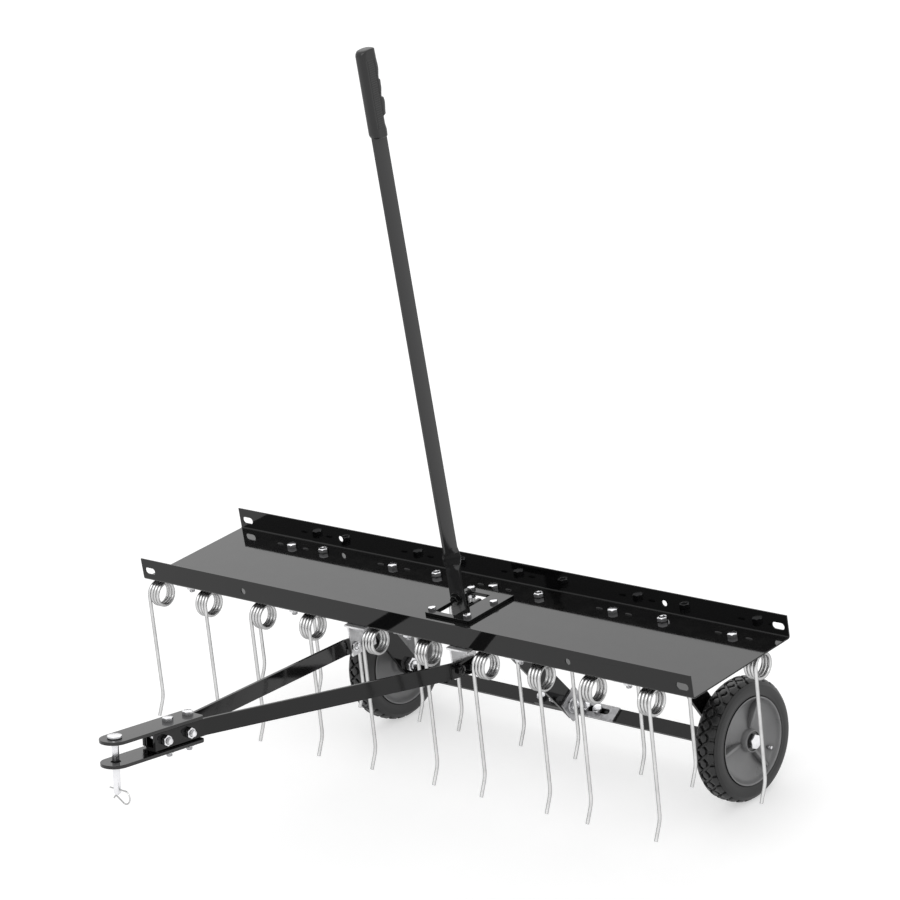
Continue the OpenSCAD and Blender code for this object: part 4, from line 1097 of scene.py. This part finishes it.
def make_rim(shape, at, sizes):
    """The bowl with its barrel and hub, and three thin ribs that rise from the bowl."""
    shape.skin(lathed(at, rim_profile(), sizes), loop=True)
    start = HUB_R - 0.5 * MM
    steps = 16
    half = RIB_W / 2
    ease = 0.9 * MM
    for degrees in RIB_ANGLES:
        rings = []
        for i in range(steps + 1):
            radius = start + (RIB_END - start) * i / steps
            top = HALF_W - RIB_IN + RIB_RISE * i / steps
            foot = min(HALF_W - looked_up(BOWL, radius) - 1.5 * MM, top - 2 * ease)
            section = [(-half - ease, foot), (-half, top - ease),
                       (-half + ease * 0.3, top - ease * 0.3), (-half + ease, top)]
            section += [(-off, width) for off, width in reversed(section)]
            rings.append([beside(at, radius, off, width, radians(degrees))
                          for off, width in section])
        shape.skin(rings)


def make_valve(shape, at):
    """The tip of the valve, low in the bowl."""
    sides = 20
    shape.skin([[beside(at, VALVE_OUT + VALVE_R * share * cos(spin),
                        VALVE_R * share * sin(spin), HALF_W - depth * MM, VALVE_TURN)
                 for spin in turns(sides)] for depth, share in VALVE_TIP])


def make_wheels(sizes):
    step = 2 * pi / sizes.tread_blocks
    other_shoulder = [(u, -w) for u, w in SHOULDER_BLOCK]
    for word, sign in (("left", -1), ("right", 1)):
        hub = middle_of(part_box("tyre_" + word))

        def at(radius, width, angle, hub=hub, sign=sign):
            return hub + Vector((sign * width, radius * cos(angle), radius * sin(angle)))

        tyre, rim, valve = Shape(), Shape(), Shape()
        tyre.skin(lathed(at, tyre_profile(sizes), sizes), loop=True)
        for i in range(sizes.tread_blocks):
            tread_block(tyre, at, CENTRE_BLOCK, i * step, sizes)
            for outline in (SHOULDER_BLOCK, other_shoulder):
                tread_block(tyre, at, outline, (i + 0.5) * step, sizes)
        make_rim(rim, at, sizes)
        make_valve(valve, at)
        body = word + "_wheel"
        tyre.place("tyre_%s_treaded" % word, body, "tyre_rubber", "tyre_" + word)
        rim.place("rim_%s_moulded" % word, body, "rim_plastic", "rim_" + word,
                  sharp=SOFT_FORM_SHARP)
        valve.place("valve_tip_" + word, body, "zinc")


# Stage

def make_camera():
    data = bpy.data.cameras.new("Camera")
    data.lens = CAMERA_LENS
    data.sensor_width = SENSOR
    data.clip_end = 100
    camera = new_object("Camera", data)
    back = CAMERA_RIGHT.cross(CAMERA_UP).normalized()
    up = back.cross(CAMERA_RIGHT).normalized()
    right = up.cross(back)
    turn = Matrix((right, up, back)).transposed().to_4x4()
    camera.matrix_world = Matrix.Translation(CAMERA_PLACE) @ turn
    bpy.context.scene.camera = camera


def seen_rays(tree):
    """One for rays that a viewer sees: straight, in a gloss or through glass."""
    path = add(tree, "ShaderNodeLightPath").outputs
    seen = maths(tree, "MAXIMUM", path["Is Camera Ray"], path["Is Glossy Ray"])
    return maths(tree, "MAXIMUM", seen, path["Is Transmission Ray"])


def make_world(colours):
    world = bpy.data.worlds.new("White studio")
    bpy.context.scene.world = world
    tree = cleared(world)
    strength = ranged(tree, seen_rays(tree), 0.0, 1.0, colours.fill_light, 1.0)
    background = add(tree, "ShaderNodeBackground", {"Color": (1, 1, 1, 1), "Strength": strength})
    add(tree, "ShaderNodeOutputWorld", {0: background.outputs[0]})


def make_floor(colours):
    half = FLOOR_HALF
    mesh = bpy.data.meshes.new("Floor")
    mesh.from_pydata([(-half, -half, 0), (half, -half, 0), (half, half, 0), (-half, half, 0)], [],
                     [(0, 1, 2, 3)])
    floor = new_object("Floor", mesh)
    material = bpy.data.materials.new("Pale floor")
    tree = cleared(material)
    matt = add(tree, "ShaderNodeBsdfDiffuse", {"Color": shade("floor")})
    glow = add(tree, "ShaderNodeEmission", {
        "Color": (1, 1, 1, 1),
        "Strength": maths(tree, "MULTIPLY", seen_rays(tree), colours.floor_glow)})
    both = add(tree, "ShaderNodeAddShader", {0: matt.outputs[0], 1: glow.outputs[0]})
    add(tree, "ShaderNodeOutputMaterial", {0: both.outputs[0]})
    mesh.materials.append(material)


def make_lamp(name, turn, strength, spread):
    """A soft sun lamp, with its turn and its spread in degrees."""
    data = bpy.data.lights.new(name, "SUN")
    data.energy = strength
    data.angle = radians(spread)
    new_object(name, data).rotation_euler = [radians(angle) for angle in turn]


def make_stage(colours):
    bpy.context.scene.view_settings.view_transform = "Standard"
    make_camera()
    make_world(colours)
    make_floor(colours)
    make_lamp("Key lamp", (38, 8, 20), colours.key_light, 35)
    make_lamp("Rear lamp", (-50, -12, 35), colours.key_light * 0.4, 50)


# Add-on

def length(label, note, default, low, high):
    """A length that is given here in mm."""
    return FloatProperty(name=label, description=note, default=default * MM, min=low * MM,
                         max=high * MM, unit="LENGTH", precision=4)


def number(label, note, default, low, high):
    return IntProperty(name=label, description=note, default=default, min=low, max=high)


def level(label, note, default, high):
    return FloatProperty(name=label, description=note, default=default, min=0.0, max=high)


def colour(label, note, red, green, blue):
    return FloatVectorProperty(name=label, description=note, default=(red, green, blue, 1.0),
                               size=4, min=0.0, max=1.0, subtype="COLOR")


class DethatcherSizes(bpy.types.PropertyGroup):
    """Sizes that a user would change"""
    wire_diameter: length("Tine wire", "Diameter of the tines' wire", 5, 4, 5.1)
    wire_sides: number("Wire sides", "Sides of the round wire", 16, 8, 48)
    curl_steps: number("Curl steps", "Rings in one curl of a coil", 28, 12, 72)
    tread_depth: length("Tread depth", "Height of the tread blocks", 3.4, 1, 5)
    tread_blocks: number("Tread blocks", "Blocks round each tread row", 30, 12, 48)
    tyre_steps: number("Tyre steps", "Steps round the tyre's and the rim's skin", 144, 48, 288)


class DethatcherColours(bpy.types.PropertyGroup):
    """Colours and light levels that a user would change"""
    paint: colour("Paint", "Black powder coat", 0.004, 0.004, 0.0042)
    paint_edge: colour("Paint edge", "Paint that is rubbed at an edge", 0.05, 0.05, 0.052)
    lever_paint: colour("Lever paint", "Satin black of the lever bar", 0.026, 0.026, 0.0265)
    zinc: colour("Zinc", "Bright plating on fasteners", 0.88, 0.88, 0.90)
    zinc_dull: colour("Dull zinc", "Clouded plating on fasteners", 0.76, 0.76, 0.78)
    zinc_edge: colour("Zinc edge", "Plating that is rubbed at an edge", 0.92, 0.92, 0.93)
    # Painted shade on fasteners, in corners and down the sides of heads
    zinc_painted_shade: colour("Zinc nook", "Plating in corners and under heads", 0.10, 0.10, 0.102)
    wire: colour("Wire", "Plated spring wire", 0.80, 0.80, 0.80)
    wire_dull: colour("Dull wire", "Clouded spring wire", 0.64, 0.64, 0.64)
    # Painted shade that the spring wire takes where it turns from the viewer
    wire_side: colour("Wire side", "Spring wire seen at a low angle", 0.10, 0.10, 0.10)
    galvanised: colour("Galvanised", "Bright crystals of galvanised sheet", 0.86, 0.86, 0.87)
    galvanised_dull: colour("Dull galvanised", "Dull crystals of the sheet", 0.74, 0.74, 0.75)
    bracket: colour("Bracket", "Bright crystals of the lift bracket", 0.44, 0.44, 0.45)
    bracket_dull: colour("Dull bracket", "Dull crystals of the lift bracket", 0.32, 0.32, 0.33)
    rim: colour("Rim", "Grey rim plastic", 0.30, 0.30, 0.304)
    rim_edge: colour("Rim edge", "Rim plastic at an edge", 0.46, 0.46, 0.465)
    rubber: colour("Rubber", "Tyre rubber", 0.017, 0.017, 0.0175)
    # Worn rubber and a painted highlight on the tread blocks' edges
    tread_edge: colour("Tread edge", "Rubber rubbed at the tread's edges", 0.085, 0.085, 0.087)
    grip: colour("Grip", "Black grip", 0.012, 0.012, 0.0125)
    grip_edge: colour("Grip edge", "Grip rubbed at an edge", 0.055, 0.055, 0.055)
    dust: colour("Dust", "Dust that settles on upper faces", 0.32, 0.31, 0.29)
    floor: colour("Floor", "Pale studio floor", 0.72, 0.72, 0.72)
    floor_glow: level("Floor glow", "Light that viewers see the floor give", 0.5, 1.0)
    fill_light: level("Fill light", "Level of the soft light all round", 0.62, 2.0)
    key_light: level("Key light", "Strength of the soft key lamp", 0.75, 4.0)


class DETHATCHER_OT_stage(bpy.types.Operator):
    """Set up the camera, the floor and the soft light"""
    bl_idname = "dethatcher.stage"
    bl_label = "Stage"

    def execute(self, context):
        make_stage(context.scene.dethatcher_colours)
        return {"FINISHED"}


class DETHATCHER_OT_tray(bpy.types.Operator):
    """Dress the tray and its gate plate"""
    bl_idname = "dethatcher.tray"
    bl_label = "Tray and gate plate"

    def execute(self, context):
        softened("tray", "tray_sheet", "deck", "black_paint")
        softened("gate_plate", "gate_plate_cut", "deck", "black_paint", edge=0.5 * MM)
        return {"FINISHED"}


class DETHATCHER_OT_drawbar(bpy.types.Operator):
    """Dress the drawbar strips, the hitch plates and the hangers"""
    bl_idname = "dethatcher.drawbar"
    bl_label = "Drawbar and hitch"

    def execute(self, context):
        for side in ("left", "right"):
            strip = softened("drawbar_" + side, "drawbar_strip_" + side, "deck", "black_paint")
            if side == "left":
                end_further_back(strip)
            softened("hanger_" + side, "hanger_sheet_" + side, "deck", "galvanised")
            softened("arm_bracket_" + side, "arm_bracket_sheet_" + side, "deck", "galvanised")
        for word in ("upper", "lower"):
            softened("hitch_plate_" + word, "hitch_plate_cut_" + word, "deck", "black_paint",
                     look="hitch_paint", edge=0.6 * MM)
        make_spacer()
        return {"FINISHED"}


class DETHATCHER_OT_wheel_frame(bpy.types.Operator):
    """Dress the arms, the axle bar and the lift strap"""
    bl_idname = "dethatcher.wheel_frame"
    bl_label = "Wheel frame"

    def execute(self, context):
        for node, name in (("wheel_arm_left", "wheel_arm_bar_left"),
                           ("wheel_arm_right", "wheel_arm_bar_right"),
                           ("axle_bar", "axle_flat_bar"), ("lift_strap", "lift_strap_bent")):
            softened(node, name, "wheel_frame", "black_paint")
        softened("lift_bracket", "lift_bracket_bent", "wheel_frame", "galvanised",
                 look="bracket_zinc")
        return {"FINISHED"}


class DETHATCHER_OT_tines(bpy.types.Operator):
    """Wind the double spring tines and dress their clamp plates"""
    bl_idname = "dethatcher.tines"
    bl_label = "Spring tines"

    def execute(self, context):
        make_tines(context.scene.dethatcher_sizes)
        return {"FINISHED"}


class DETHATCHER_OT_fasteners(bpy.types.Operator):
    """Turn the bolts, nuts and bushes, and raise the low tabs on the tray's floor"""
    bl_idname = "dethatcher.fasteners"
    bl_label = "Fasteners"

    def execute(self, context):
        make_fasteners()
        make_tabs()
        return {"FINISHED"}


class DETHATCHER_OT_pins(bpy.types.Operator):
    """Turn the hitch pin and bend the hair pin"""
    bl_idname = "dethatcher.pins"
    bl_label = "Hitch pin and hair pin"

    def execute(self, context):
        make_pins(context.scene.dethatcher_sizes)
        return {"FINISHED"}


class DETHATCHER_OT_lever(bpy.types.Operator):
    """Twist the lever bar and mould its grip"""
    bl_idname = "dethatcher.lever"
    bl_label = "Lever and grip"

    def execute(self, context):
        make_lever()
        return {"FINISHED"}


class DETHATCHER_OT_wheels(bpy.types.Operator):
    """Mould the rims and the treaded tyres"""
    bl_idname = "dethatcher.wheels"
    bl_label = "Wheels"

    def execute(self, context):
        make_wheels(context.scene.dethatcher_sizes)
        return {"FINISHED"}


OPERATORS = (DETHATCHER_OT_stage, DETHATCHER_OT_tray, DETHATCHER_OT_drawbar,
             DETHATCHER_OT_wheel_frame, DETHATCHER_OT_tines, DETHATCHER_OT_fasteners,
             DETHATCHER_OT_pins, DETHATCHER_OT_lever, DETHATCHER_OT_wheels)


class DETHATCHER_PT_panel(bpy.types.Panel):
    """Sizes, colours and pieces of the dethatcher"""
    bl_idname = "DETHATCHER_PT_panel"
    bl_label = "Dethatcher"
    bl_space_type = "VIEW_3D"
    bl_region_type = "UI"
    bl_category = "Dethatcher"

    def draw(self, context):
        layout = self.layout
        for group in (context.scene.dethatcher_sizes, context.scene.dethatcher_colours):
            column = layout.column(align=True)
            for key in group.__annotations__:
                column.prop(group, key)
        column = layout.column()
        for operator in OPERATORS:
            column.operator(operator.bl_idname)


CLASSES = (DethatcherSizes, DethatcherColours) + OPERATORS + (DETHATCHER_PT_panel,)


def register():
    for item in CLASSES:
        bpy.utils.register_class(item)
    bpy.types.Scene.dethatcher_sizes = PointerProperty(type=DethatcherSizes)
    bpy.types.Scene.dethatcher_colours = PointerProperty(type=DethatcherColours)


def unregister():
    del bpy.types.Scene.dethatcher_colours
    del bpy.types.Scene.dethatcher_sizes
    for item in reversed(CLASSES):
        bpy.utils.unregister_class(item)


def main():
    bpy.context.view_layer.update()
    register()
    for operator in OPERATORS:
        group, action = operator.bl_idname.split(".")
        getattr(getattr(bpy.ops, group), action)()


if __name__ == "__main__":
    main()
